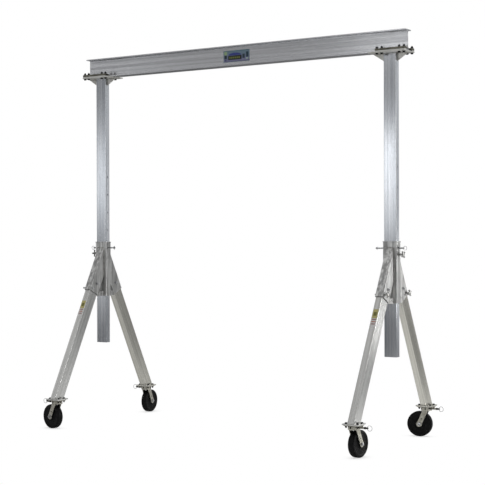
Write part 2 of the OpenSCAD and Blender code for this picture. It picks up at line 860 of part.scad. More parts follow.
module right_rear_leg_pin() { leg_pin(RIGHT, REAR); }
module left_foot_bolts() { foot_bolts(LEFT); }
module right_foot_bolts() { foot_bolts(RIGHT); }
module left_front_caster_plate() { caster_plate(LEFT, FRONT); }
module left_rear_caster_plate() { caster_plate(LEFT, REAR); }
module right_front_caster_plate() { caster_plate(RIGHT, FRONT); }
module right_rear_caster_plate() { caster_plate(RIGHT, REAR); }
module left_front_fork() { fork(LEFT, FRONT, left_front_swivel); }
module left_rear_fork() { fork(LEFT, REAR, left_rear_swivel); }
module right_front_fork() { fork(RIGHT, FRONT, right_front_swivel); }
module right_rear_fork() { fork(RIGHT, REAR, right_rear_swivel); }
module left_front_axle() { axle(LEFT, FRONT, left_front_swivel); }
module left_rear_axle() { axle(LEFT, REAR, left_rear_swivel); }
module right_front_axle() { axle(RIGHT, FRONT, right_front_swivel); }
module right_rear_axle() { axle(RIGHT, REAR, right_rear_swivel); }
module left_front_wheel() { wheel(LEFT, FRONT, left_front_swivel); }
module left_rear_wheel() { wheel(LEFT, REAR, left_rear_swivel); }
module right_front_wheel() { wheel(RIGHT, FRONT, right_front_swivel); }
module right_rear_wheel() { wheel(RIGHT, REAR, right_rear_swivel); }
module left_front_swivel_lock() { swivel_lock(LEFT, FRONT); }
module left_rear_swivel_lock() { swivel_lock(LEFT, REAR); }
module right_front_swivel_lock() { swivel_lock(RIGHT, FRONT); }
module right_rear_swivel_lock() { swivel_lock(RIGHT, REAR); }

beam();
beam_label();
left_mast();
right_mast();
left_saddle();
right_saddle();
left_clamp_bars();
right_clamp_bars();
clamp_bolts();
left_head();
right_head();
left_front_leg();
left_rear_leg();
right_front_leg();
right_rear_leg();
left_leg_bolts();
right_leg_bolts();
left_leg_label();
right_leg_label();
left_height_pin();
right_height_pin();
left_pin_keeper();
right_pin_keeper();
left_clamp_knob();
right_clamp_knob();
left_front_leg_pin();
left_rear_leg_pin();
right_front_leg_pin();
right_rear_leg_pin();
left_foot_bolts();
right_foot_bolts();
left_front_caster_plate();
left_rear_caster_plate();
right_front_caster_plate();
right_rear_caster_plate();
left_front_fork();
left_rear_fork();
right_front_fork();
right_rear_fork();
left_front_axle();
left_rear_axle();
right_front_axle();
right_rear_axle();
left_front_wheel();
left_rear_wheel();
right_front_wheel();
right_rear_wheel();
left_front_swivel_lock();
left_rear_swivel_lock();
right_front_swivel_lock();
right_rear_swivel_lock();
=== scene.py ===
import json
import math

import bmesh
import bpy
from mathutils import Matrix, Vector


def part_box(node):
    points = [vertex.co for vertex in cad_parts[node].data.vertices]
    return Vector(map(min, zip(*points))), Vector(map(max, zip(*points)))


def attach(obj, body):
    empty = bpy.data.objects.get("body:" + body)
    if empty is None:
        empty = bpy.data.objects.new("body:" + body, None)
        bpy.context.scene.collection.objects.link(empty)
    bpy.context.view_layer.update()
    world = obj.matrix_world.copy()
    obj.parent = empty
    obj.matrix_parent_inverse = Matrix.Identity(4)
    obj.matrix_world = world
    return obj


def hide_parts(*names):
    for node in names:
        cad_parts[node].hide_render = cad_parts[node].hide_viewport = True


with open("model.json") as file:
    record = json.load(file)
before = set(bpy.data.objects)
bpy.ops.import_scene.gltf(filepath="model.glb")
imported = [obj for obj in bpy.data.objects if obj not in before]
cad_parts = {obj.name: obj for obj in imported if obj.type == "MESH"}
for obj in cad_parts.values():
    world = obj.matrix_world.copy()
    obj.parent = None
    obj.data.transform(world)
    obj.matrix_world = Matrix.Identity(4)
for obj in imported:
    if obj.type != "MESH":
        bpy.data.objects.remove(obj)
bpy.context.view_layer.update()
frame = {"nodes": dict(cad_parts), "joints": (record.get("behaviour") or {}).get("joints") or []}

# Portable gantry crane: finishes, welds, fasteners, grips, pins, wheels and labels.
# Metres. +X runs along the beam, +Z is up, and the front is towards -Y.

SIDES = {"left": -1, "right": 1}
ENDS = {"front": -1, "rear": 1}
JOINTS = {j["name"]: j for j in frame["joints"]}

# Tubes, heads and legs
MAST_LOW, MAST_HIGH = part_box("right_mast")
MAST_X = (MAST_LOW.x + MAST_HIGH.x) / 2
TUBE_WIDE = MAST_HIGH.x - MAST_LOW.x
TUBE_NARROW = MAST_HIGH.y - MAST_LOW.y
LEG_TILT = math.radians(27.3)
HEAD_WALL = 0.00635
SEAT_GAP = 0.0003
SLIDE_CLEARANCE = 0.0008
HEAD_WIDE = TUBE_WIDE + 2 * (SLIDE_CLEARANCE + HEAD_WALL)
HEAD_NARROW = TUBE_NARROW + 2 * (SLIDE_CLEARANCE + HEAD_WALL)
SOCKET_REACH = 0.360
FOOT_THICKNESS = 0.0095
CASTER_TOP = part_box("right_front_caster_plate")[1].z
FOOT_TOP = CASTER_TOP + FOOT_THICKNESS
FOOT_Y = JOINTS["right_rear_swivel"]["pos_m"][1]
SOCKET_MOUTH = FOOT_Y / math.sin(LEG_TILT) - SOCKET_REACH
SLEEVE_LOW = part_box("right_head")[0].z
TIE_HEIGHT = 0.040

# Beam and saddles
BEAM_LOW, BEAM_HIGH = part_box("beam")
SADDLE_LOW, SADDLE_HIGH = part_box("right_saddle")
MAST_TOP = MAST_HIGH.z
SADDLE_TOP = BEAM_LOW.z
CLAMP_LOW, CLAMP_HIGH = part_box("right_clamp_bars")
CLAMP_TOP = CLAMP_HIGH.z
BEAM_FLANGE = 0.008
CLAMP_ACROSS = (CLAMP_HIGH.y + BEAM_HIGH.y + SEAT_GAP) / 2
CLAMP_OUT = (CLAMP_LOW.x + CLAMP_HIGH.x) / 2 - MAST_X
CLAMP_BOLTS = (0.072, 0.112)
GUSSET_HEIGHT = 0.062
GUSSET_THICKNESS = 0.008

# Pins, in metres from the middle of the mast or the socket
KNOB_Z = JOINTS["right_knob_turn"]["pos_m"][2]
BOSS_RADIUS = 0.012
LEG_PIN_RISE = 0.025
LEG_PIN_OFFSET = 0.036
LEG_BOLT_RISE = 0.083
FOOT_BOLTS = (0.04605, 0.03335)

# Bolts, as diameter and thread pitch
M12 = (0.012, 0.00175)
M10 = (0.010, 0.0015)

# Casters
CASTER_PLATE = 0.00635
AXLE_D = 0.0127
WHEEL_D = 2 * JOINTS["right_rear_roll"]["pos_m"][2]
WHEEL_WIDTH = 0.0508
HUB_WIDTH = WHEEL_WIDTH + 0.008
FORK_PLATE = 0.005
FORK_OUTER = HUB_WIDTH / 2 + SEAT_GAP + FORK_PLATE
LOCK_BARREL_END = 0.097


# ------------------------------------------------------------------ placing

def at_mast(side):
    """Place on a mast, with +X pointing outward."""
    return Matrix.Translation((SIDES[side] * MAST_X, 0, 0)) @ Matrix.Diagonal((SIDES[side], 1, 1, 1))


def at_end(end):
    """Turns a rear leg's place into a front one."""
    return Matrix.Diagonal((1, ENDS[end], 1, 1))


def along_leg(side, end):
    """Place at a leg's foot, with +Z up the leg and +Y away from the mast."""
    foot = Matrix.Translation((0, FOOT_Y, FOOT_TOP))
    return at_mast(side) @ at_end(end) @ foot @ Matrix.Rotation(LEG_TILT, 4, "X")


def at_foot(side, end):
    """Place on the floor under a caster's swivel axis, with +X pointing outward."""
    return at_mast(side) @ Matrix.Translation((0, ENDS[end] * FOOT_Y, 0))


def at_axle(side, end):
    """Place at a wheel's centre, with +Z along its axle."""
    roll = JOINTS[f"{side}_{end}_roll"]
    turn = Vector((0, 0, 1)).rotation_difference(Vector(roll["axis"]))
    return Matrix.Translation(roll["pos_m"]) @ turn.to_matrix().to_4x4()


OUTWARD = Matrix.Rotation(math.pi / 2, 4, "Y")


# ------------------------------------------------------------------ meshes

def arc(centre, radius, start, end, steps):
    """Points on an arc, in degrees, as (radius, height) pairs."""
    angles = [math.radians(start + (end - start) * i / steps) for i in range(steps + 1)]
    return [(centre[0] + radius * math.cos(a), centre[1] + radius * math.sin(a)) for a in angles]


def lathe(mesh, outline, place=Matrix(), steps=48, closed=False):
    """Turns an outline of (radius, height) pairs round +Z. An open one starts and ends on the axis."""
    rings = []
    for radius, height in outline:
        if radius < 1e-7:
            rings.append([mesh.verts.new(place @ Vector((0, 0, height)))] * steps)
            continue
        ring = []
        for i in range(steps):
            a = 2 * math.pi * i / steps
            ring.append(mesh.verts.new(place @ Vector((radius * math.cos(a), radius * math.sin(a), height))))
        rings.append(ring)
    pairs = list(zip(rings, rings[1:]))
    if closed:
        pairs.append((rings[-1], rings[0]))
    for low, high in pairs:
        for i in range(steps):
            j = (i + 1) % steps
            corners = list(dict.fromkeys([low[i], low[j], high[j], high[i]]))
            if len(corners) > 2:
                mesh.faces.new(corners)


def hexagon_edge(flats, steps=36):
    """Angle and radius round a hexagon of that size across its flats."""
    for i in range(steps):
        a = 2 * math.pi * i / steps
        off = (a + math.pi / 6) % (math.pi / 3) - math.pi / 6
        yield a, flats / 2 / math.cos(off)


def hexagon(mesh, flats, low, high, chamfer_low, chamfer_high, place=Matrix()):
    """Hexagon head or nut, its corners turned down by a 30 degree chamfer where asked."""
    slope = math.tan(math.radians(30))
    inner = 0.94 * flats / 2
    edge = list(hexagon_edge(flats))

    def ring(height, sign, chamfered):
        corners, rim = [], []
        for a, radius in edge:
            drop = max(0, radius - inner) * slope if chamfered else 0
            turn = Vector((math.cos(a), math.sin(a), 0))
            corners.append(mesh.verts.new(place @ (turn * radius + Vector((0, 0, height - sign * drop)))))
            rim.append(mesh.verts.new(place @ (turn * inner + Vector((0, 0, height)))))
        return corners, rim

    low_corners, low_rim = ring(low, -1, chamfer_low)
    high_corners, high_rim = ring(high, 1, chamfer_high)
    count = len(edge)
    for a, b in ((low_rim, low_corners), (low_corners, high_corners), (high_corners, high_rim)):
        for i in range(count):
            j = (i + 1) % count
            mesh.faces.new([a[i], a[j], b[j], b[i]])
    mesh.faces.new(list(reversed(low_rim)))
    mesh.faces.new(high_rim)


def thread_outline(radius, low, high, pitch):
    """Outline of a bolt's threaded end, from its start up to its domed tip."""
    ridges = max(2, round((high - low - radius * 0.25) / pitch))
    step = (high - low - radius * 0.25) / ridges
    outline = []
    for i in range(ridges):
        outline += [(radius * 0.86, low + i * step), (radius, low + (i + 0.5) * step)]
    return outline + [(radius * 0.86, high - radius * 0.25), (radius * 0.7, high), (0, high)]


def plain_mesh(name, mesh):
    """Turns a bmesh into a mesh as it is."""
    data = bpy.data.meshes.new(name)
    mesh.to_mesh(data)
    mesh.free()
    return data


def closed_mesh(name, mesh):
    """Turns a bmesh into a mesh with its seams closed and its faces turned outward."""
    bmesh.ops.remove_doubles(mesh, verts=mesh.verts, dist=1e-6)
    bmesh.ops.recalc_face_normals(mesh, faces=mesh.faces)
    return plain_mesh(name, mesh)


def finished(name, mesh, material, body, slot, smooth=35, replaces=()):
    """Turns a bmesh into a piece of the crane that rides on a body."""
    return piece_from(name, closed_mesh(name, mesh), material, body, slot, smooth, replaces)


def piece_from(name, data, material, body, slot, smooth=35, replaces=()):
    """Puts a mesh in the scene as a piece that rides on a body."""
    data.shade_smooth()
    data.set_sharp_from_angle(angle=math.radians(smooth))
    if material is not None:
        data.materials.clear()
        data.materials.append(material)
    piece = bpy.data.objects.new(name, data)
    bpy.context.scene.collection.objects.link(piece)
    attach(piece, body)
    if replaces:
        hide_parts(*replaces)
    return piece


# ------------------------------------------------------------------ nodes

def plug(tree, source, socket):
    """Links an input to another socket, or gives it a value."""
    if isinstance(source, bpy.types.NodeSocket):
        tree.links.new(source, socket)
    else:
        socket.default_value = source


def add_node(tree, kind, modes=None, **inputs):
    """Adds a node with its modes and its inputs, which are named with underscores for spaces."""
    node = tree.nodes.new(kind)
    for name, mode in (modes or {}).items():
        setattr(node, name, mode)
    for name, source in inputs.items():
        plug(tree, source, node.inputs[name.replace("_", " ")])
    return node


def add_maths(tree, operation, *values):
    """Adds a node that works on numbers."""
    node = add_node(tree, "ShaderNodeMath", {"operation": operation})
    for value, socket in zip(values, node.inputs):
        plug(tree, value, socket)
    return node.outputs[0]


class Finish:
    """A material under construction, with short names for the nodes that it needs."""

    def __init__(self, name):
        self.material = bpy.data.materials.new(name)
        self.material.use_nodes = True
        self.tree = self.material.node_tree
        self.shader = self.tree.nodes["Principled BSDF"]
        self.place = self.add("ShaderNodeTexCoord").outputs["Object"]

    def add(self, kind, modes=None, **inputs):
        return add_node(self.tree, kind, modes, **inputs)

    def maths(self, operation, *values):
        return add_maths(self.tree, operation, *values)

    def vectors(self, operation, *values):
        node = self.add("ShaderNodeVectorMath", {"operation": operation})
        for value, socket in zip(values, node.inputs):
            plug(self.tree, value, socket)
        return node.outputs

    def mapped(self, scale=(1, 1, 1), turn=(0, 0, 0), centre=(0, 0, 0)):
        """Object coordinates moved to a centre, then turned, then stretched."""
        moved = self.vectors("SUBTRACT", self.place, centre)[0]
        turned = self.add("ShaderNodeMapping", Rotation=turn, Vector=moved).outputs[0]
        return self.vectors("MULTIPLY", turned, scale)[0]

    def noise(self, vector, scale, detail=3, rough=0.5, warp=0.0):
        inputs = {"Vector": vector, "Scale": scale, "Detail": detail, "Roughness": rough, "Distortion": warp}
        return self.add("ShaderNodeTexNoise", **inputs).outputs["Fac"]

    def cells(self, vector, scale, feature="F1", output="Distance"):
        node = self.add("ShaderNodeTexVoronoi", {"feature": feature}, Vector=vector, Scale=scale)
        return node.outputs[output]

    def spread(self, value, low, high, to_low=0.0, to_high=1.0):
        """Stretches a range of a value to another range, clamped and smooth."""
        node = self.add("ShaderNodeMapRange", {"interpolation_type": "SMOOTHSTEP"})
        for socket, v in zip(node.inputs, (value, low, high, to_low, to_high)):
            plug(self.tree, v, socket)
        return node.outputs["Result"]

    def mix(self, factor, first, second):
        node = self.add("ShaderNodeMix", {"data_type": "RGBA"}, Factor=factor)
        for value, index in ((first, 6), (second, 7)):
            if not isinstance(value, bpy.types.NodeSocket):
                value = (*value, 1)
            plug(self.tree, value, node.inputs[index])
        return node.outputs[2]

    def axis(self, vector, name):
        return self.add("ShaderNodeSeparateXYZ", Vector=vector).outputs[name]

    def normal(self):
        return self.add("ShaderNodeNewGeometry").outputs["Normal"]

    def bump(self, height, distance, strength=1.0, under=None):
        node = self.add("ShaderNodeBump", Height=height, Distance=distance, Strength=strength)
        if under is not None:
            plug(self.tree, under, node.inputs["Normal"])
        return node.outputs[0]

    def worn_edges(self, radius):
        """1 where a sharp edge is near, 0 on flat faces."""
        bevel = self.add("ShaderNodeBevel", {"samples": 4}, Radius=radius)
        return self.spread(self.vectors("DOT_PRODUCT", bevel.outputs[0], self.normal())["Value"], 0.97, 0.80)

    def shade_in_recesses(self, reach, low=0.30, high=0.72):
        """1 deep in corners and gaps, 0 in the open: the mask for painted shade in recesses."""
        node = self.add("ShaderNodeAmbientOcclusion", {"samples": 6}, Distance=reach)
        return self.spread(node.outputs["AO"], high, low)

    def shade_facing_down(self):
        """1 on faces that look down: the mask for painted shade under things."""
        return self.spread(self.axis(self.normal(), "Z"), -0.35, -0.75)

    def set(self, **values):
        """Sets or links inputs of the shader, named with underscores for spaces, and gives the material."""
        for name, value in values.items():
            plug(self.tree, value, self.shader.inputs[name.replace("_", " ")])
        return self.material


def colour(value, green=None, blue=None):
    """Linear colour from display values of 0 to 255."""
    channels = (value, value if green is None else green, value if blue is None else blue)
    return tuple((c / 255) ** 2.2 for c in channels)


# ------------------------------------------------------------------ finishes

def inside(f, value, low, high, soft=0.002):
    """1 where a value lies between two others."""
    above = f.spread(value, low - soft, low + soft)
    below = f.spread(value, high + soft, high - soft)
    return f.maths("MULTIPLY", above, below)


def mill_finish(name, turn, spread_along, bright, dull, metallic=1.0, rough=0.21, directional=0.78):
    """Extruded aluminium: die lines along the tube, faint streaks, water marks and handled edges."""
    f = Finish(name)
    fine = f.mapped((1, 1, 0.004), turn)
    broad = f.mapped((1, 1, 0.006), turn)
    lines = f.noise(fine, 900, 2, 0.6)
    grooves = f.noise(fine, 160, 3, 0.6)
    streaks = f.noise(broad, 60, 4, 0.6)
    marks = f.noise(f.mapped((1, 1, 0.15), turn), 7, 5, 0.6)
    scuffs = f.spread(f.cells(f.mapped((1, 1, 0.35), turn), 34, "DISTANCE_TO_EDGE"), 0.012, 0.002)
    scuffs = f.maths("MULTIPLY", scuffs, f.spread(f.noise(f.place, 9, 2), 0.56, 0.68))
    tone = f.mix(f.spread(streaks, 0.3, 0.7), dull, bright)
    tone = f.mix(f.maths("MULTIPLY", f.spread(marks, 0.52, 0.72), 0.16), tone, tuple(c * 0.80 for c in dull))
    tone = f.mix(f.maths("MULTIPLY", f.worn_edges(0.0016), 0.55), tone, (0.93, 0.93, 0.92))
    roughness = f.spread(marks, 0.35, 0.75, rough, rough + 0.05)
    roughness = f.maths("ADD", roughness, f.spread(lines, 0.3, 0.7, -0.03, 0.05))
    roughness = f.maths("ADD", roughness, f.maths("MULTIPLY", scuffs, 0.05))
    height = f.maths("ADD", f.maths("MULTIPLY", lines, 0.35), f.maths("MULTIPLY", grooves, 0.65))
    normal = f.bump(height, 0.00003, 0.4)
    normal = f.bump(scuffs, 0.00002, 0.3, normal)
    across = f.add("ShaderNodeCombineXYZ", **dict(zip("XYZ", spread_along))).outputs[0]
    f.set(Anisotropic=directional, Tangent=across)
    return f.set(Base_Color=tone, Metallic=metallic, Roughness=roughness, Normal=normal)


def welded_aluminium():
    """Head made of cut tube: brushed by hand along its height, with grey cloudy patches; painted shade
    darkens its ±X faces and blackens its corners, gaps and downward faces.
    """
    f = Finish("welded_head_aluminium")
    fine = f.mapped((1, 1, 0.02))
    brushed = f.noise(fine, 420, 3, 0.6)
    streaks = f.noise(f.mapped((1, 1, 0.06)), 46, 4, 0.6)
    cloud = f.noise(f.place, 11, 5, 0.6, 0.4)
    tone = f.mix(f.spread(streaks, 0.36, 0.64), colour(172, 172, 171), colour(246, 246, 244))
    tone = f.mix(f.maths("MULTIPLY", f.spread(cloud, 0.50, 0.72), 0.35), tone, colour(160, 159, 156))
    # Painted shade: faces that look along ±X are darkened, as if turned away from the light.
    outer = f.spread(f.maths("ABSOLUTE", f.axis(f.normal(), "X")), 0.80, 0.95)
    tone = f.mix(f.maths("MULTIPLY", outer, 0.42), tone, colour(96, 96, 95))
    tone = f.mix(f.maths("MULTIPLY", f.worn_edges(0.0018), 0.6), tone, (0.9, 0.9, 0.88))
    # Painted shade: near black in corners, gaps and on faces that look down.
    tone = f.mix(f.maths("MAXIMUM", f.shade_in_recesses(0.030, 0.12, 0.50), f.shade_facing_down()), tone, (0.012, 0.012, 0.012))
    roughness = f.spread(cloud, 0.35, 0.7, 0.42, 0.58)
    roughness = f.maths("ADD", roughness, f.spread(brushed, 0.3, 0.7, -0.05, 0.06))
    normal = f.bump(brushed, 0.00012, 0.5)
    return f.set(Base_Color=tone, Metallic=1.0, Roughness=roughness, Normal=normal)


def plate_aluminium():
    """Sawn and drilled plate: rolled surface with short scratches and bright sawn edges, with painted shade
    that blackens its corners and gaps.
    """
    f = Finish("plate_aluminium_finish")
    rolled = f.noise(f.mapped((0.05, 1, 1)), 300, 3, 0.6)
    cloud = f.noise(f.place, 14, 5, 0.6)
    scratch = f.spread(f.cells(f.mapped((1, 0.25, 1), (0, 0, 0.5)), 60, "DISTANCE_TO_EDGE"), 0.02, 0.004)
    tone = f.mix(f.spread(cloud, 0.35, 0.7), colour(232, 231, 226), colour(206, 205, 198))
    tone = f.mix(f.maths("MULTIPLY", f.worn_edges(0.0014), 0.7), tone, (0.95, 0.94, 0.91))
    # Painted shade: near black in corners and gaps.
    tone = f.mix(f.shade_in_recesses(0.02), tone, (0.02, 0.02, 0.02))
    roughness = f.maths("ADD", f.spread(cloud, 0.35, 0.7, 0.28, 0.44), f.maths("MULTIPLY", scratch, 0.1))
    normal = f.bump(f.maths("ADD", rolled, scratch), 0.00007, 0.5)
    return f.set(Base_Color=tone, Metallic=0.6, Roughness=roughness, Normal=normal)


def clamp_plates():
    """Clamp bars: a darker rolled plate over a bright spacer, with a thin joint between them."""
    f = Finish("clamp_bar_finish")
    up = f.axis(f.place, "Z")
    joint = SADDLE_TOP + BEAM_FLANGE
    upper = f.spread(up, joint - 0.0003, joint + 0.0003)
    rolled = f.noise(f.mapped((0.05, 1, 1)), 300, 3, 0.6)
    cloud = f.noise(f.place, 18, 5, 0.6)
    dark = f.mix(f.spread(cloud, 0.35, 0.7), colour(126, 124, 112), colour(92, 91, 84))
    tone = f.mix(upper, colour(236, 235, 230), dark)
    tone = f.mix(inside(f, up, joint - 0.0008, joint + 0.0008, 0.0003), tone, (0.02, 0.02, 0.02))
    tone = f.mix(f.maths("MULTIPLY", f.worn_edges(0.0018), 0.8), tone, (0.95, 0.94, 0.91))
    roughness = f.spread(cloud, 0.35, 0.7, 0.30, 0.46)
    metallic = f.maths("ADD", 0.45, f.maths("MULTIPLY", upper, 0.5))
    return f.set(Base_Color=tone, Metallic=metallic, Roughness=roughness, Normal=f.bump(rolled, 0.00007, 0.5))


def weld_metal():
    """Aluminium weld beads: satin and slightly sooty between the ripples."""
    f = Finish("weld_bead_finish")
    grain = f.noise(f.place, 700, 3, 0.6)
    soot = f.noise(f.place, 45, 4, 0.6)
    tone = f.mix(f.spread(soot, 0.42, 0.68), colour(204, 203, 198), colour(120, 117, 110))
    roughness = f.spread(soot, 0.3, 0.7, 0.34, 0.55)
    return f.set(Base_Color=tone, Metallic=1.0, Roughness=roughness, Normal=f.bump(grain, 0.0001, 0.4))


def galvanised():
    """Zinc-plated pressed steel: crystal patches, a warm cast and dull weathered spots, with painted shade
    that blackens corners, gaps and downward faces.
    """
    f = Finish("zinc_plated_steel")
    patch = f.cells(f.mapped((1, 1, 1)), 110, "F1", "Color")
    crystal = f.axis(patch, "X")
    weathered = f.noise(f.place, 24, 5, 0.6, 0.5)
    fine = f.noise(f.place, 900, 2)
    tone = f.mix(crystal, colour(178, 175, 163), colour(205, 203, 192))
    tone = f.mix(f.maths("MULTIPLY", f.spread(weathered, 0.5, 0.72), 0.6), tone, colour(146, 142, 130))
    tone = f.mix(f.maths("MULTIPLY", f.worn_edges(0.0012), 0.5), tone, (0.85, 0.84, 0.80))
    # Painted shade: near black in corners, gaps and on faces that look down.
    tone = f.mix(f.maths("MAXIMUM", f.shade_in_recesses(0.02), f.shade_facing_down()), tone, (0.015, 0.015, 0.014))
    roughness = f.maths("ADD", f.spread(weathered, 0.35, 0.7, 0.32, 0.5), f.maths("MULTIPLY", crystal, 0.08))
    return f.set(Base_Color=tone, Metallic=1.0, Roughness=roughness, Normal=f.bump(fine, 0.00004, 0.5))


def bright_steel():
    """Turned steel, zinc plated: fine tool marks and handled, duller patches."""
    f = Finish("bright_plated_steel")
    fine = f.noise(f.place, 1400, 2, 0.6)
    handled = f.noise(f.place, 60, 4, 0.6)
    tone = f.mix(f.spread(handled, 0.38, 0.68), colour(206, 207, 210), colour(160, 160, 160))
    tone = f.mix(f.maths("MULTIPLY", f.worn_edges(0.0008), 0.4), tone, (0.88, 0.88, 0.88))
    roughness = f.spread(handled, 0.3, 0.7, 0.2, 0.42)
    return f.set(Base_Color=tone, Metallic=1.0, Roughness=roughness, Normal=f.bump(fine, 0.00003, 0.5))


def lock_steel():
    """Swivel lock: blackened plunger and cap, with a bright wire ring at its end."""
    f = Finish("swivel_lock_steel")
    outward = f.maths("SUBTRACT", f.maths("ABSOLUTE", f.axis(f.place, "X")), MAST_X)
    ring = f.spread(outward, 0.1128, 0.1134)
    rub = f.noise(f.place, 140, 4, 0.6)
    dark = f.mix(f.spread(rub, 0.42, 0.7), (0.02, 0.02, 0.021), (0.07, 0.066, 0.06))
    bright = f.mix(f.spread(rub, 0.42, 0.7), colour(176, 176, 177), colour(140, 140, 140))
    tone = f.mix(ring, dark, bright)
    roughness = f.spread(rub, 0.3, 0.7, 0.26, 0.46)
    return f.set(Base_Color=tone, Metallic=0.9, Roughness=roughness, Normal=f.bump(rub, 0.00003, 0.4))


def cast_grip():
    """Tumbled cast aluminium of the four-armed grips: pebbled skin, polished on the arms' ends."""
    f = Finish("cast_grip_finish")
    pebble = f.noise(f.place, 1100, 3, 0.6)
    cloud = f.noise(f.place, 70, 4, 0.6)
    tone = f.mix(f.spread(cloud, 0.36, 0.66), colour(196, 196, 194), colour(150, 149, 146))
    roughness = f.spread(cloud, 0.3, 0.7, 0.26, 0.44)
    return f.set(Base_Color=tone, Metallic=1.0, Roughness=roughness, Normal=f.bump(pebble, 0.00012, 0.5))


def black_oxide():
    """Black oxide fasteners: oily black with brown rubs and bare corners."""
    f = Finish("black_oxide_finish")
    rub = f.noise(f.place, 130, 4, 0.6)
    tone = f.mix(f.spread(rub, 0.45, 0.72), (0.013, 0.013, 0.014), (0.045, 0.038, 0.032))
    tone = f.mix(f.maths("MULTIPLY", f.worn_edges(0.0007), 0.4), tone, (0.20, 0.19, 0.18))
    normal = f.bump(f.noise(f.place, 1500, 2), 0.00003, 0.5)
    return f.set(Base_Color=tone, Metallic=0.7, Roughness=f.spread(rub, 0.3, 0.7, 0.34, 0.55), Normal=normal)


def wheel_black():
    """Moulded black wheel: satin sides, a scuffed tread that carries a little pale dust."""
    f = Finish("moulded_wheel_black")
    grain = f.noise(f.place, 800, 3, 0.6)
    dust = f.noise(f.place, 42, 5, 0.65, 0.5)
    scuff = f.spread(f.cells(f.mapped((1, 0.3, 1)), 130, "DISTANCE_TO_EDGE"), 0.03, 0.006)
    dusty = f.maths("MULTIPLY", f.spread(dust, 0.50, 0.78), 0.5)
    tone = f.mix(dusty, (0.003, 0.003, 0.0034), (0.026, 0.025, 0.023))
    tone = f.mix(f.maths("MULTIPLY", scuff, 0.16), tone, (0.09, 0.088, 0.085))
    normal = f.bump(grain, 0.00012, 0.5)
    roughness = f.spread(dust, 0.3, 0.75, 0.36, 0.62)
    return f.set(Base_Color=tone, Roughness=roughness, Normal=normal, Specular_IOR_Level=0.14)


def film(f, tone):
    """Printed film over a picture: satin, with a fine orange peel and faint rubbing."""
    rub = f.noise(f.place, 55, 5, 0.65)
    tone = f.mix(f.maths("MULTIPLY", f.spread(rub, 0.52, 0.75), 0.22), tone, (0.55, 0.55, 0.54))
    normal = f.bump(f.noise(f.place, 500, 2), 0.00004, 0.4)
    return f.set(Base_Color=tone, Roughness=f.spread(rub, 0.3, 0.7, 0.28, 0.46), Normal=normal)


def rating_label_film():
    """Rating label: blue swoosh over a black panel of yellow-green blocks, with teal side panels."""
    f = Finish("rating_label_film")
    low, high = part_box("beam_label")
    centre = (low + high) / 2
    unit = f.mapped((1 / (high.x - low.x), 1, 1 / (high.z - low.z)), (0, 0, 0), centre)
    along = f.axis(unit, "X")
    up = f.axis(unit, "Z")

    def panel(left, right, bottom, top):
        return f.maths("MULTIPLY", inside(f, along, left, right), inside(f, up, bottom, top, 0.008))

    tone = f.mix(f.spread(up, -0.5, 0.5), colour(150, 150, 190), colour(128, 160, 178))
    tone = f.mix(panel(-0.47, -0.36, 0.14, 0.42), tone, colour(186, 214, 160))
    tone = f.mix(panel(-0.46, -0.37, -0.20, 0.10), tone, colour(8, 52, 60))
    tone = f.mix(panel(-0.44, -0.39, -0.40, -0.26), tone, colour(60, 70, 130))
    tone = f.mix(panel(0.23, 0.32, -0.22, 0.14), tone, colour(10, 56, 70))
    tone = f.mix(panel(0.37, 0.46, -0.14, 0.30), tone, colour(14, 66, 84))
    tone = f.mix(panel(0.36, 0.45, -0.32, -0.20), tone, colour(205, 228, 214))
    oval_along = f.maths("DIVIDE", f.maths("ADD", along, 0.06), 0.24)
    oval_up = f.maths("DIVIDE", f.maths("SUBTRACT", up, 0.10), 0.20)
    oval = f.maths("ADD", f.maths("POWER", oval_along, 2.0), f.maths("POWER", oval_up, 2.0))
    swoosh = f.maths("MULTIPLY", f.spread(oval, 1.05, 0.95), f.spread(up, 0.06, 0.10))
    tone = f.mix(swoosh, tone, colour(62, 76, 168))
    tone = f.mix(panel(-0.32, 0.20, -0.30, 0.06), tone, colour(6, 14, 14))
    blocks = f.maths("PINGPONG", f.maths("MULTIPLY", along, 14.0), 0.5)
    blocks = f.maths("MULTIPLY", f.spread(blocks, 0.14, 0.20), panel(-0.27, 0.15, -0.20, -0.04))
    tone = f.mix(blocks, tone, colour(146, 160, 74))
    frame_line = f.maths("SUBTRACT", 1.0, panel(-0.488, 0.488, -0.465, 0.465))
    tone = f.mix(frame_line, tone, colour(84, 128, 140))
    return film(f, tone)


def leg_label_film():
    """Label on a leg: a yellow block with an olive square, over white with thin red and orange rules."""
    f = Finish("leg_label_film")
    low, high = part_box("right_leg_label")
    centre = (low + high) / 2
    length = (high.z - low.z) / math.cos(LEG_TILT)
    unit = f.mapped((1, 1, 1 / length), (LEG_TILT, 0, 0), (0, centre.y, centre.z))
    up = f.axis(unit, "Z")
    across = f.maths("SUBTRACT", f.maths("ABSOLUTE", f.axis(unit, "X")), MAST_X)
    tone = f.mix(f.spread(up, -0.5, 0.5), (0.80, 0.79, 0.77), (0.84, 0.83, 0.80))
    tone = f.mix(inside(f, up, -0.02, 0.49, 0.006), tone, colour(206, 196, 128))
    square = f.maths("MULTIPLY", inside(f, up, 0.12, 0.33, 0.006), inside(f, across, -0.013, 0.013, 0.0008))
    tone = f.mix(square, tone, colour(126, 122, 58))
    width = inside(f, across, -0.017, 0.017, 0.0008)
    for rule, ink in ((-0.09, (150, 60, 52)), (-0.22, (196, 96, 70)), (-0.35, (150, 52, 60))):
        line = f.maths("MULTIPLY", inside(f, up, rule - 0.022, rule + 0.022, 0.006), width)
        tone = f.mix(line, tone, colour(*ink))
    return film(f, tone)


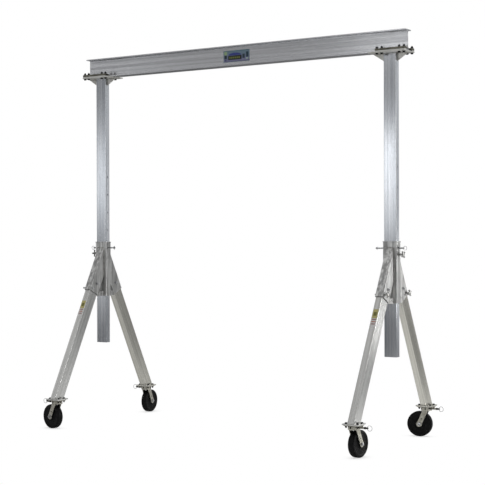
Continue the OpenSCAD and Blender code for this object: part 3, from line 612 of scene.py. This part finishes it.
UPRIGHT = (0, 0, 0)
ALONG_BEAM = (0, math.radians(90), 0)
MAST_TONES = (colour(232, 234, 238), colour(196, 201, 208))
BEAM_TONES = (colour(222, 223, 226), colour(190, 191, 194))
LEG_TONES = {
    "front": (colour(228, 228, 226), colour(198, 198, 195), 1.0),
    "rear": (colour(232, 230, 221), colour(206, 204, 194), 0.82),
}
MAST_FINISH = mill_finish("mast_mill_finish", UPRIGHT, (1, 1, 0), *MAST_TONES)
BEAM_FINISH = mill_finish("beam_mill_finish", ALONG_BEAM, (0, 1, 1), *BEAM_TONES)
LEG_FINISH = {
    end: mill_finish(
        f"{end}_leg_mill_finish",
        (-ENDS[end] * LEG_TILT, 0, 0),
        (1, math.cos(LEG_TILT), ENDS[end] * math.sin(LEG_TILT)),
        *LEG_TONES[end],
    )
    for end in ENDS
}
HEAD_FINISH = welded_aluminium()
PLATE_FINISH = plate_aluminium()
CLAMP_FINISH = clamp_plates()
WELD_FINISH = weld_metal()
ZINC_FINISH = galvanised()
STEEL_FINISH = bright_steel()
LOCK_FINISH = lock_steel()
GRIP_FINISH = cast_grip()
BOLT_FINISH = black_oxide()
WHEEL_FINISH = wheel_black()
RATING_FINISH = rating_label_film()
LEG_LABEL_FINISH = leg_label_film()


def dress(node, material):
    """Gives a node of the crane its finish."""
    data = frame["nodes"][node].data
    data.materials.clear()
    data.materials.append(material)


SIDE_FINISHES = {
    "mast": MAST_FINISH,
    "saddle": PLATE_FINISH,
    "clamp_bars": CLAMP_FINISH,
    "head": HEAD_FINISH,
    "leg_label": LEG_LABEL_FINISH,
    "height_pin": STEEL_FINISH,
    "pin_keeper": STEEL_FINISH,
}
dress("beam", BEAM_FINISH)
dress("beam_label", RATING_FINISH)
for side in SIDES:
    for part, finish in SIDE_FINISHES.items():
        dress(f"{side}_{part}", finish)
    for end in ENDS:
        dress(f"{side}_{end}_leg", LEG_FINISH[end])
        dress(f"{side}_{end}_caster_plate", ZINC_FINISH)
        dress(f"{side}_{end}_fork", ZINC_FINISH)
        dress(f"{side}_{end}_swivel_lock", LOCK_FINISH)


# ------------------------------------------------------------------ growing trees

def growing_tree(name, inputs):
    """Starts a tree with named inputs and gives its input sockets and its end."""
    tree = bpy.data.node_groups.new(name, "GeometryNodeTree")
    tree.interface.new_socket(name="Geometry", in_out="INPUT", socket_type="NodeSocketGeometry")
    for label, kind in inputs:
        tree.interface.new_socket(name=label, in_out="INPUT", socket_type="NodeSocket" + kind)
    tree.interface.new_socket(name="Geometry", in_out="OUTPUT", socket_type="NodeSocketGeometry")
    given = tree.nodes.new("NodeGroupInput").outputs
    return tree, given, tree.nodes.new("NodeGroupOutput").inputs["Geometry"]


def end_tree(tree, given, geometry, end):
    """Makes the copies real, gives them their finish and hands them over."""
    real = add_node(tree, "GeometryNodeRealizeInstances", Geometry=geometry).outputs[0]
    finish = add_node(tree, "GeometryNodeSetMaterial", Geometry=real, Material=given["Finish"])
    tree.links.new(finish.outputs[0], end)


def random_between(tree, low, high, seed):
    """A value of its own for each copy."""
    node = add_node(tree, "FunctionNodeRandomValue", {"data_type": "FLOAT"}, Seed=seed)
    sockets = [s for s in node.inputs if s.enabled]
    plug(tree, low, sockets[0])
    plug(tree, high, sockets[1])
    return [s for s in node.outputs if s.enabled][0]


def facing_along(tree, vector):
    """Rotation that turns +Z along a vector."""
    return add_node(tree, "FunctionNodeAlignRotationToVector", {"axis": "Z"}, Vector=vector).outputs[0]


def weld_tree():
    """Bead along seams: a round core with overlapping ripples of slightly uneven size."""
    inputs = (
        ("Ripple pitch", "Float"),
        ("Bead radius", "Float"),
        ("Unevenness", "Float"),
        ("Seed", "Int"),
        ("Finish", "Material"),
    )
    tree, given, end = growing_tree("weld_beads", inputs)
    radius = given["Bead radius"]
    seam = add_node(tree, "GeometryNodeMeshToCurve", Mesh=given["Geometry"]).outputs[0]
    every = {"Curve": seam, "Length": given["Ripple pitch"]}
    spaced = add_node(tree, "GeometryNodeResampleCurve", {"mode": "LENGTH"}, **every)
    ripple = add_node(tree, "GeometryNodeMeshUVSphere", Segments=8, Rings=5, Radius=radius)
    tangent = add_node(tree, "GeometryNodeInputTangent").outputs[0]
    least = add_maths(tree, "SUBTRACT", 1.0, given["Unevenness"])
    width = random_between(tree, least, 1.0, given["Seed"])
    copies = add_node(
        tree,
        "GeometryNodeInstanceOnPoints",
        Points=spaced.outputs[0],
        Instance=ripple.outputs["Mesh"],
        Rotation=facing_along(tree, tangent),
        Scale=add_node(tree, "ShaderNodeCombineXYZ", X=width, Y=width, Z=0.72).outputs[0],
    )
    core_radius = add_maths(tree, "MULTIPLY", radius, 0.7)
    section = add_node(tree, "GeometryNodeCurvePrimitiveCircle", Resolution=8, Radius=core_radius)
    ends = {"Curve": seam, "Profile Curve": section.outputs[0], "Fill Caps": True}
    core = add_node(tree, "GeometryNodeCurveToMesh", **ends)
    both = add_node(tree, "GeometryNodeJoinGeometry")
    tree.links.new(copies.outputs[0], both.inputs[0])
    tree.links.new(core.outputs[0], both.inputs[0])
    end_tree(tree, given, both.outputs[0], end)
    return tree


def fastener_tree():
    """One bolt on each point, its head along the point's axis, turned about it by chance."""
    inputs = (("Bolt", "Object"), ("Largest turn", "Float"), ("Seed", "Int"), ("Finish", "Material"))
    tree, given, end = growing_tree("bolts_on_points", inputs)
    bolt = add_node(tree, "GeometryNodeObjectInfo", Object=given["Bolt"])
    axis = add_node(tree, "GeometryNodeInputNamedAttribute", {"data_type": "FLOAT_VECTOR"}, Name="axis")
    copies = add_node(
        tree,
        "GeometryNodeInstanceOnPoints",
        Points=given["Geometry"],
        Instance=bolt.outputs["Geometry"],
        Rotation=facing_along(tree, axis.outputs[0]),
    )
    turn = random_between(tree, 0.0, given["Largest turn"], given["Seed"])
    about = add_node(tree, "ShaderNodeCombineXYZ", Z=turn).outputs[0]
    turned = add_node(tree, "GeometryNodeRotateInstances", Instances=copies.outputs[0], Rotation=about)
    end_tree(tree, given, turned.outputs[0], end)
    return tree


def grown(name, data, tree, settings, body, slot, smooth=35, replaces=()):
    """Runs a tree on a mesh and keeps what grows as a plain piece that rides on a body."""
    start = bpy.data.objects.new(name + "_start", data)
    bpy.context.scene.collection.objects.link(start)
    modifier = start.modifiers.new("grow", "NODES")
    modifier.node_group = tree
    for socket in tree.interface.items_tree:
        if socket.in_out == "INPUT" and socket.name in settings:
            modifier[socket.identifier] = settings[socket.name]
    bpy.context.view_layer.update()
    graph = bpy.context.evaluated_depsgraph_get()
    result = bpy.data.meshes.new_from_object(start.evaluated_get(graph), depsgraph=graph)
    start.modifiers.clear()
    bpy.data.objects.remove(start)
    return piece_from(name, result, None, body, slot, smooth, replaces)


# ------------------------------------------------------------------ welds

def seam_mesh(name, paths):
    """Mesh of edges only, one chain for each path."""
    mesh = bmesh.new()
    for points in paths:
        closed = len(points) > 2 and points[0] == points[-1]
        corners = [mesh.verts.new(p) for p in (points[:-1] if closed else points)]
        for a, b in zip(corners, corners[1:] + ([corners[0]] if closed else [])):
            mesh.edges.new((a, b))
    return plain_mesh(name, mesh)


def ring_of(place, across, deep, z, y=0.0):
    """Closed rectangle round a tube at a height."""
    corners = ((-across, -deep), (across, -deep), (across, deep), (-across, deep), (-across, -deep))
    return [tuple(place @ Vector((cx, y + cy, z))) for cx, cy in corners]


def saddle_seams(side):
    """Seams between a mast, its saddle plate and the two gussets."""
    place = at_mast(side)
    paths = [ring_of(place, TUBE_WIDE / 2, TUBE_NARROW / 2, MAST_TOP)]
    gusset_end = (SADDLE_HIGH.x - SADDLE_LOW.x) / 2 - 0.006
    for s in (-1, 1):
        for y in (-GUSSET_THICKNESS / 2, GUSSET_THICKNESS / 2):
            low = (s * TUBE_WIDE / 2, y, MAST_TOP - GUSSET_HEIGHT + 0.002)
            root = (s * TUBE_WIDE / 2, y, MAST_TOP)
            out = (s * gusset_end, y, MAST_TOP)
            paths.append([tuple(place @ Vector(p)) for p in (low, root, out)])
    return paths


def head_seams(side):
    """Seams between sleeve, sockets, tie strips and the knob's boss."""
    place = at_mast(side)
    lean, upright = math.sin(LEG_TILT), math.cos(LEG_TILT)
    face = HEAD_NARROW / 2

    def on_socket(across, y=None, z=None):
        """Point of a socket's edge that far across the leg, at a place or a height."""
        if z is None:
            along = (FOOT_Y + across * upright - y) / lean
        else:
            along = (z - FOOT_TOP - across * lean) / upright
        return FOOT_Y + across * upright - along * lean, FOOT_TOP + across * lean + along * upright

    upper = on_socket(HEAD_WIDE / 2, y=face)
    lower = on_socket(-HEAD_WIDE / 2, y=face)
    paths = []
    for end in ENDS:
        leg = place @ at_end(end)
        corners = ((-face, lower[1]), (-face, upper[1]), (face, upper[1]), (face, lower[1]))
        paths.append([tuple(leg @ Vector((x, face, z))) for x, z in corners])
        tie_foot = on_socket(-HEAD_WIDE / 2, z=SLEEVE_LOW)
        tie_top = on_socket(-HEAD_WIDE / 2, z=SLEEVE_LOW + TIE_HEIGHT)
        for x in (-face, face):
            tie_edge = (SLEEVE_LOW, SLEEVE_LOW + TIE_HEIGHT)
            paths.append([tuple(leg @ Vector((x, face, z))) for z in tie_edge])
            paths.append([tuple(leg @ Vector(p)) for p in ((x, *tie_foot), (x, *tie_top))])
    steps = 20
    turns = [2 * math.pi * (i % steps) / steps for i in range(steps + 1)]
    boss = [(HEAD_WIDE / 2, BOSS_RADIUS * math.cos(a), KNOB_Z + BOSS_RADIUS * math.sin(a)) for a in turns]
    paths.append([tuple(place @ Vector(p)) for p in boss])
    return paths


def foot_seams(side):
    """Seams round both legs where they stand on their foot plates."""
    deep = TUBE_WIDE / 2 / math.cos(LEG_TILT)
    return [ring_of(at_mast(side), TUBE_NARROW / 2, deep, FOOT_TOP, ENDS[end] * FOOT_Y) for end in ENDS]


def weld(name, tree, paths, radius, body, seed):
    settings = {"Ripple pitch": 0.95 * radius, "Bead radius": radius, "Unevenness": 0.22, "Seed": seed}
    settings["Finish"] = WELD_FINISH
    grown(name, seam_mesh(name, paths), tree, settings, body, "cast_aluminium", 50)


def welds():
    tree = weld_tree()
    weld("saddle_welds", tree, saddle_seams("left") + saddle_seams("right"), 0.0030, "upper", 3)
    for seed, side in enumerate(SIDES):
        weld(f"{side}_head_welds", tree, head_seams(side), 0.0034, f"{side}_frame", 10 + seed)
        weld(f"{side}_foot_welds", tree, foot_seams(side), 0.0030, f"{side}_frame", 20 + seed)


# ------------------------------------------------------------------ fasteners

def bolt_mesh(d, grip, pitch):
    """Washer and head over the origin, shank down through a grip, then washer, nut and threaded end."""
    washer, head, nut = 0.2 * d, 0.65 * d, 0.85 * d
    mesh = bmesh.new()
    for low in (0, -grip - washer):
        edge = 0.18 * washer
        inner, outer = 0.52 * d, 1.05 * d
        high = low + washer
        section = [(inner, low), (outer - edge, low), (outer, low + edge)]
        section += [(outer, high - edge), (outer - edge, high), (inner, high)]
        lathe(mesh, section, steps=28, closed=True)
    hexagon(mesh, 1.5 * d, washer, washer + head, False, True)
    hexagon(mesh, 1.5 * d, -grip - washer - nut, -grip - washer, True, True)
    start = grip + washer + nut
    shank = [(0, -washer), (d / 2, -washer), (d / 2, start - 0.001)]
    shank += thread_outline(d / 2, start - 0.001, start + 0.006, pitch)
    lathe(mesh, shank, Matrix.Rotation(math.pi, 4, "X"), 24)
    return closed_mesh("bolt", mesh)


def bolted(name, tree, seats, size, grip, finish, body, slot, seed, node):
    """Puts a bolt on each seat, a place whose +Z is the way its head points."""
    seats = list(seats)
    bolt = bpy.data.objects.new("bolt", bolt_mesh(size[0], grip, size[1]))
    bpy.context.scene.collection.objects.link(bolt)
    points = bpy.data.meshes.new(name)
    points.from_pydata([tuple(seat.translation) for seat in seats], [], [])
    axes = points.attributes.new("axis", "FLOAT_VECTOR", "POINT")
    for i, seat in enumerate(seats):
        axes.data[i].vector = (seat.to_3x3() @ Vector((0, 0, 1))).normalized()
    settings = {"Bolt": bolt, "Largest turn": math.radians(60), "Seed": seed, "Finish": finish}
    grown(name, points, tree, settings, body, slot, 30, (node,))
    bpy.data.objects.remove(bolt)


def clamp_seats():
    for side in SIDES:
        for away in (-CLAMP_BOLTS[1], -CLAMP_BOLTS[0], CLAMP_BOLTS[0], CLAMP_BOLTS[1]):
            for y in (-CLAMP_ACROSS, CLAMP_ACROSS):
                spot = at_mast(side) @ Matrix.Translation((CLAMP_OUT + away, y, MAST_TOP))
                yield spot @ Matrix.Rotation(math.pi, 4, "X")


def leg_seats(side):
    for end in ENDS:
        seat = Matrix.Translation((HEAD_NARROW / 2, 0, SOCKET_MOUTH + LEG_BOLT_RISE))
        yield along_leg(side, end) @ seat @ OUTWARD


def foot_seats(side):
    for end in ENDS:
        for x in (-FOOT_BOLTS[0], FOOT_BOLTS[0]):
            for y in (-FOOT_BOLTS[1], FOOT_BOLTS[1]):
                yield at_foot(side, end) @ Matrix.Translation((x, y, FOOT_TOP))


def fasteners():
    tree = fastener_tree()
    grip = CLAMP_TOP - MAST_TOP
    black = (BOLT_FINISH, "upper", "black_bolts")
    bolted("clamp_bolt_set", tree, clamp_seats(), M12, grip, *black, 5, "clamp_bolts")
    for seed, side in enumerate(SIDES):
        name = f"{side}_leg_bolt"
        plated = (STEEL_FINISH, f"{side}_frame", "plated_steel")
        bolted(name + "_set", tree, leg_seats(side), M12, HEAD_NARROW, *plated, 30 + seed, name + "s")
        name = f"{side}_foot_bolt"
        grip = FOOT_THICKNESS + CASTER_PLATE
        black = (BOLT_FINISH, f"{side}_frame", "black_bolts")
        bolted(name + "_set", tree, foot_seats(side), M10, grip, *black, 40 + seed, name + "s")


# ------------------------------------------------------------------ wheels and axles

def wheel_outline():
    """Closed outline of a moulded wheel: hub, stepped recess, round shoulders and crowned tread."""
    half, hub, rim = WHEEL_WIDTH / 2, HUB_WIDTH / 2, WHEEL_D / 2
    bore = AXLE_D / 2 + 0.00005
    side = [(bore, hub), (0.0255, hub), (0.027, hub - 0.0015), (0.0272, half - 0.001)]
    side += [(0.0285, half), (0.0325, half)]
    side += [(0.0345, half - 0.0022), (0.036, half - 0.0045), (0.042, half - 0.005), (0.0435, half - 0.0036)]
    side += [(0.0475, half - 0.0036), (0.049, half - 0.005), (0.066, half - 0.005), (0.0672, half - 0.0042)]
    side += [(0.0705, half - 0.0042), (0.074, half - 0.0036), (0.0775, half - 0.0016)]
    side += [(0.0805, half - 0.0003), (0.0825, half), (0.0875, half)]
    side += [(0.0885, half - 0.0005), (0.0895, half - 0.0001)]
    side += arc((rim - 0.0095, half - 0.009), 0.009, 84, 8, 7)
    side += [(rim - 0.0003, half - 0.012), (rim, 0.004)]
    return side + [(radius, -height) for radius, height in reversed(side)]


def wheels_and_axles():
    for side in SIDES:
        for end in ENDS:
            name = f"{side}_{end}"
            place = at_axle(side, end)
            mesh = bmesh.new()
            lathe(mesh, wheel_outline(), place, 96, True)
            rides = (name + "_roller", "black_wheel", 32, (name + "_wheel",))
            finished(name + "_moulded_wheel", mesh, WHEEL_FINISH, *rides)
            data = bolt_mesh(AXLE_D, 2 * FORK_OUTER, 0.002)
            data.transform(place @ Matrix.Rotation(math.pi, 4, "X") @ Matrix.Translation((0, 0, FORK_OUTER)))
            rides = (name + "_caster", "plated_steel", 30, (name + "_axle",))
            piece_from(name + "_axle_bolt", data, STEEL_FINISH, *rides)


# ------------------------------------------------------------------ grips and leg pins

def four_arms(mesh, reach, centre_z, place):
    """Four tapered arms with ball ends, square to +Z at a height."""
    ball = 0.0072
    outline = [(0, 0), (0.0064, 0), (0.0058, 0.010), (0.0050, reach - 2 * ball)]
    outline += arc((0, reach - ball), ball, -44, 90, 9)
    for quarter in range(4):
        turn = Matrix.Rotation(quarter * math.pi / 2, 4, "Z") @ OUTWARD
        lathe(mesh, outline, place @ Matrix.Translation((0, 0, centre_z)) @ turn, 20)


def clamp_grips():
    """Screw, neck and four-armed cast grip of each mast clamp."""
    for side, turn in (("left", 0), ("right", 38)):
        boss = Matrix.Translation((HEAD_WIDE / 2, 0, KNOB_Z))
        place = at_mast(side) @ boss @ OUTWARD @ Matrix.Rotation(math.radians(turn), 4, "Z")
        mesh = bmesh.new()
        tip = (TUBE_WIDE - HEAD_WIDE) / 2 + SEAT_GAP
        screw = [(0, tip), (0.0043, tip), (0.005, tip + 0.0007), (0.005, 0.0082)]
        for i in range(3):
            screw += [(0.0044, 0.0086 + 0.0015 * i), (0.005, 0.0093 + 0.0015 * i)]
        neck = [(0.0050, 0.013), (0.0086, 0.013), (0.009, 0.0142), (0.0088, 0.018)]
        neck += [(0.0076, 0.023), (0.0080, 0.028), (0.0108, 0.0315)]
        hub = [(0.0126, 0.0328), (0.013, 0.0350), (0.0128, 0.0415), (0.0112, 0.0442), (0.0085, 0.0452)]
        hub += [(0.0080, 0.0446), (0.0060, 0.0446), (0.0052, 0.0456), (0, 0.046)]
        lathe(mesh, screw + neck + hub, place, 32)
        four_arms(mesh, 0.031, 0.0385, place)
        rides = (f"{side}_knob", "plated_steel", 38, (f"{side}_clamp_knob",))
        finished(f"{side}_clamp_grip", mesh, GRIP_FINISH, *rides)


def leg_pins():
    """Leg pins: a turned head on the left frame, a four-armed grip on the right one."""
    face = HEAD_NARROW / 2
    tip = -face - 0.015
    seat = face + SEAT_GAP
    pin = [(0, tip), (0.0028, tip), (0.0042, tip + 0.0008), (0.005, tip + 0.0022), (0.005, seat)]
    collar = [(0.0080, seat), (0.0085, seat + 0.0005), (0.0085, seat + 0.0045)]
    collar += [(0.0080, seat + 0.005), (0.0062, seat + 0.005)]
    neck = [(0.0058, seat + 0.0065), (0.0058, seat + 0.0165), (0.0066, seat + 0.0180)]
    cap = [(0.007, seat + 0.0186), (0.007, seat + 0.0325), (0.0062, seat + 0.0337)]
    cap += [(0.0045, seat + 0.034), (0, seat + 0.034)]
    hub = [(0, face + 0.0205), (0.0100, face + 0.0205), (0.0122, face + 0.0222)]
    hub += [(0.0122, face + 0.0328), (0.0100, face + 0.0344), (0, face + 0.0346)]
    for side, finish in (("left", STEEL_FINISH), ("right", GRIP_FINISH)):
        for end in ENDS:
            name = f"{side}_{end}"
            socket = Matrix.Translation((0, LEG_PIN_OFFSET, SOCKET_MOUTH + LEG_PIN_RISE))
            place = along_leg(side, end) @ socket @ OUTWARD
            mesh = bmesh.new()
            lathe(mesh, pin + collar + neck + cap, place, 28)
            if side == "right":
                lathe(mesh, hub, place, 28)
                four_arms(mesh, 0.028, face + 0.0275, place)
            rides = (name + "_pin", "plated_steel", 38, (name + "_leg_pin",))
            finished(name + "_leg_pin_piece", mesh, finish, *rides)


# ------------------------------------------------------------------ swivel locks and races

def circle(mesh, radii, height, place):
    """Ring of points round +Z at a height, one for each radius."""
    ring = []
    for i, radius in enumerate(radii):
        a = 2 * math.pi * i / len(radii)
        ring.append(mesh.verts.new(place @ Vector((radius * math.cos(a), radius * math.sin(a), height))))
    return ring


def ridged_sleeve(mesh, inner, outer, low, high, place, ridges=22):
    """Knurled sleeve: a ring with square ridges along it."""
    groove, chamfer = 0.0006, 0.0005
    rings = []
    for height, shrink in ((low, chamfer), (low + groove, 0), (high - groove, 0), (high, chamfer)):
        top, root = outer - shrink, outer - shrink - groove
        rings.append(circle(mesh, [root, root, top, top] * ridges, height, place))
    for height in (high, low):
        rings.append(circle(mesh, [inner] * 4 * ridges, height, place))
    for near, far in zip(rings, rings[1:] + rings[:1]):
        for i in range(len(near)):
            j = (i + 1) % len(near)
            mesh.faces.new([near[i], near[j], far[j], far[i]])


def lock_sleeves():
    """Knurled collar pressed on the end of each swivel lock's barrel."""
    for side in SIDES:
        for end in ENDS:
            name = f"{side}_{end}"
            low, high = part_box(name + "_swivel_lock")
            place = at_foot(side, end) @ Matrix.Translation((0, 0, (low.z + high.z) / 2)) @ OUTWARD
            mesh = bmesh.new()
            ridged_sleeve(mesh, 0.0074, 0.0086, LOCK_BARREL_END - 0.013, LOCK_BARREL_END - 0.0004, place)
            finished(name + "_lock_collar", mesh, BOLT_FINISH, f"{side}_frame", "plated_steel", 30)
            races = bmesh.new()
            height = CASTER_TOP - CASTER_PLATE
            lip = [(0.0375, height - 0.0034), (0.0402, height - 0.0034), (0.0410, height - 0.0026)]
            lip += [(0.0404, height - 0.0002), (0.0375, height)]
            lathe(races, lip, at_foot(side, end), 64, True)
            finished(name + "_race_lip", races, ZINC_FINISH, f"{side}_frame", "zinc_steel", 35)


welds()
fasteners()
wheels_and_axles()
clamp_grips()
leg_pins()
lock_sleeves()


# ------------------------------------------------------------------ studio

def floor_finish():
    """Pale floor: painted light makes it pale near the crane and dark far away as metal sees it, and the
    camera sees white with painted contact shadows.
    """
    f = Finish("pale_floor")
    # Painted light: the floor's colour fades from pale near the crane to dark far away, for the metal's
    # reflections.
    far = f.spread(f.vectors("LENGTH", f.place)["Value"], 2.5, 6.5)
    grain = f.noise(f.place, 2, 4)
    near_tone = f.mix(f.spread(grain, 0.3, 0.7), (0.86, 0.86, 0.86), (0.90, 0.90, 0.89))
    f.set(Base_Color=f.mix(far, near_tone, (0.34, 0.34, 0.345)), Roughness=0.9, Specular_IOR_Level=0.1)
    # Painted shadow: the camera's see-through floor is tinted grey where objects are near above it.
    shadow = f.mix(f.shade_in_recesses(0.12, 0.25, 0.85), (1, 1, 1), (0.62, 0.62, 0.62))
    clear = f.add("ShaderNodeBsdfTransparent", Color=shadow).outputs[0]
    choice = f.add("ShaderNodeMixShader", Fac=f.add("ShaderNodeLightPath").outputs["Is Camera Ray"])
    plug(f.tree, f.shader.outputs[0], choice.inputs[1])
    plug(f.tree, clear, choice.inputs[2])
    plug(f.tree, choice.outputs[0], f.tree.nodes["Material Output"].inputs["Surface"])
    return f.material


def floor(half=60):
    mesh = bmesh.new()
    bmesh.ops.create_grid(mesh, x_segments=1, y_segments=1, size=half)
    data = plain_mesh("floor", mesh)
    data.materials.append(floor_finish())
    sheet = bpy.data.objects.new("floor", data)
    bpy.context.scene.collection.objects.link(sheet)


def studio_air(sees, ahead, behind):
    """Even white behind the crane, and a room that only lights it: dim in front, brighter at the back."""
    world = bpy.data.worlds.new("studio")
    bpy.context.scene.world = world
    world.use_nodes = True
    tree = world.node_tree
    place = add_node(tree, "ShaderNodeTexCoord").outputs["Generated"]
    forward = add_node(tree, "ShaderNodeSeparateXYZ", Vector=place).outputs["Y"]
    ramp = add_node(tree, "ShaderNodeMapRange", Value=forward, From_Min=-0.35, From_Max=0.45).outputs[0]
    room = add_node(tree, "ShaderNodeMix", {"data_type": "RGBA"}, Factor=ramp)
    plug(tree, (*ahead, 1), room.inputs[6])
    plug(tree, (*behind, 1), room.inputs[7])
    camera_ray = add_node(tree, "ShaderNodeLightPath").outputs["Is Camera Ray"]
    choice = add_node(tree, "ShaderNodeMix", {"data_type": "RGBA"}, Factor=camera_ray)
    plug(tree, room.outputs[2], choice.inputs[6])
    plug(tree, (*sees, 1), choice.inputs[7])
    tree.links.new(choice.outputs[2], tree.nodes["Background"].inputs["Color"])


def soft_box(name, centre, target, width, height, radiance, tint=(1, 1, 1)):
    """Rectangular soft box that faces a target and shows in the metal with a given brightness."""
    light = bpy.data.lights.new(name, "AREA")
    light.shape = "RECTANGLE"
    light.size = width
    light.size_y = height
    light.energy = radiance * math.pi * width * height
    light.color = tint
    box = bpy.data.objects.new(name, light)
    box.location = centre
    box.rotation_euler = (Vector(target) - Vector(centre)).to_track_quat("-Z", "Y").to_euler()
    box.visible_camera = False
    bpy.context.scene.collection.objects.link(box)


def camera():
    view = bpy.data.cameras.new("camera")
    view.sensor_width = 36
    view.lens = 96.19
    eye = bpy.data.objects.new("camera", view)
    yaw, pitch, roll = (math.radians(a) for a in (32.838, -0.13, -0.16))
    turn = Matrix.Rotation(yaw, 3, "Z") @ Matrix.Rotation(math.pi / 2 + pitch, 3, "X")
    turn = turn @ Matrix.Rotation(roll, 3, "Z")
    eye.rotation_euler = turn.to_euler()
    eye.location = (5.7208, -8.7837, 1.5607)
    view.clip_end = 200
    bpy.context.scene.collection.objects.link(eye)
    bpy.context.scene.camera = eye


COOL_WHITE = (0.98, 0.99, 1.0)
camera()
floor()
studio_air((1, 1, 1), (0.21, 0.21, 0.212), (0.40, 0.405, 0.41))
soft_box("front_wide", (-4.6, -8.6, 2.4), (-4.6, 0, 2.4), 9.5, 1.6, 0.58, (0.97, 0.985, 1.0))
soft_box("front_core", (-2.75, -8.55, 2.76), (-2.75, 0, 2.76), 1.5, 0.95, 2.1, COOL_WHITE)
soft_box("front_core_above", (-2.75, -8.55, 3.5), (-2.75, 0, 3.5), 1.5, 0.8, 0.2, COOL_WHITE)
soft_box("front_core_below", (-2.75, -8.55, 2.0), (-2.75, 0, 2.0), 1.5, 0.8, 0.62, COOL_WHITE)
soft_box("front_core_left", (-8.2, -8.55, 2.74), (-8.2, 0, 2.74), 2.2, 1.35, 1.0, COOL_WHITE)
soft_box("front_left_above", (-8.2, -8.55, 3.5), (-8.2, 0, 3.5), 2.2, 0.8, 0.45, COOL_WHITE)
soft_box("low_left", (-8.2, -8.6, 0.75), (-8.2, 0, 0.75), 2.6, 0.9, 0.89)
soft_box("low_middle", (-2.8, -8.55, 0.8), (-2.8, 0, 0.8), 1.6, 0.9, 0.27)
soft_box("beam_strip", (-5.5, -8.55, 4.55), (-5.5, 0, 4.55), 3.6, 0.7, 0.42)
soft_box("beam_strip_right", (-2.95, -8.55, 4.6), (-2.95, 0, 4.6), 0.8, 0.7, 0.86)
soft_box("tall_strip", (-2.7, -8.6, 5.7), (-1.3, 0, 3.0), 0.8, 2.8, 0.67)
soft_box("high_front", (-2.8, -6.0, 7.2), (0.6, 0, 0.8), 4.6, 3.0, 0.42)
soft_box("high_left", (-8.6, -6.6, 7.0), (-1.4, 0, 0.8), 3.4, 3.0, 0.5)
soft_box("right_wall", (7.5, 3.5, 2.2), (0, 0, 1.8), 6.0, 4.2, 0.94)
soft_box("right_lamp", (3.0, 0.75, 1.2), (1.4, -0.2, 0.9), 0.8, 0.6, 10.0)
soft_box("right_floor_card", (3.2, 0.75, 0.06), (1.4, 0.3, 0.7), 1.4, 1.0, 0.35)
soft_box("key", (6.9, 0.1, 3.2), (1.2, 0, 1.2), 3.4, 1.7, 0.7, (1.0, 0.995, 0.985))
soft_box("top", (0, 0.5, 7.5), (0, 0, 0), 6.0, 4.0, 2.2)
bpy.context.scene.view_settings.view_transform = "Standard"
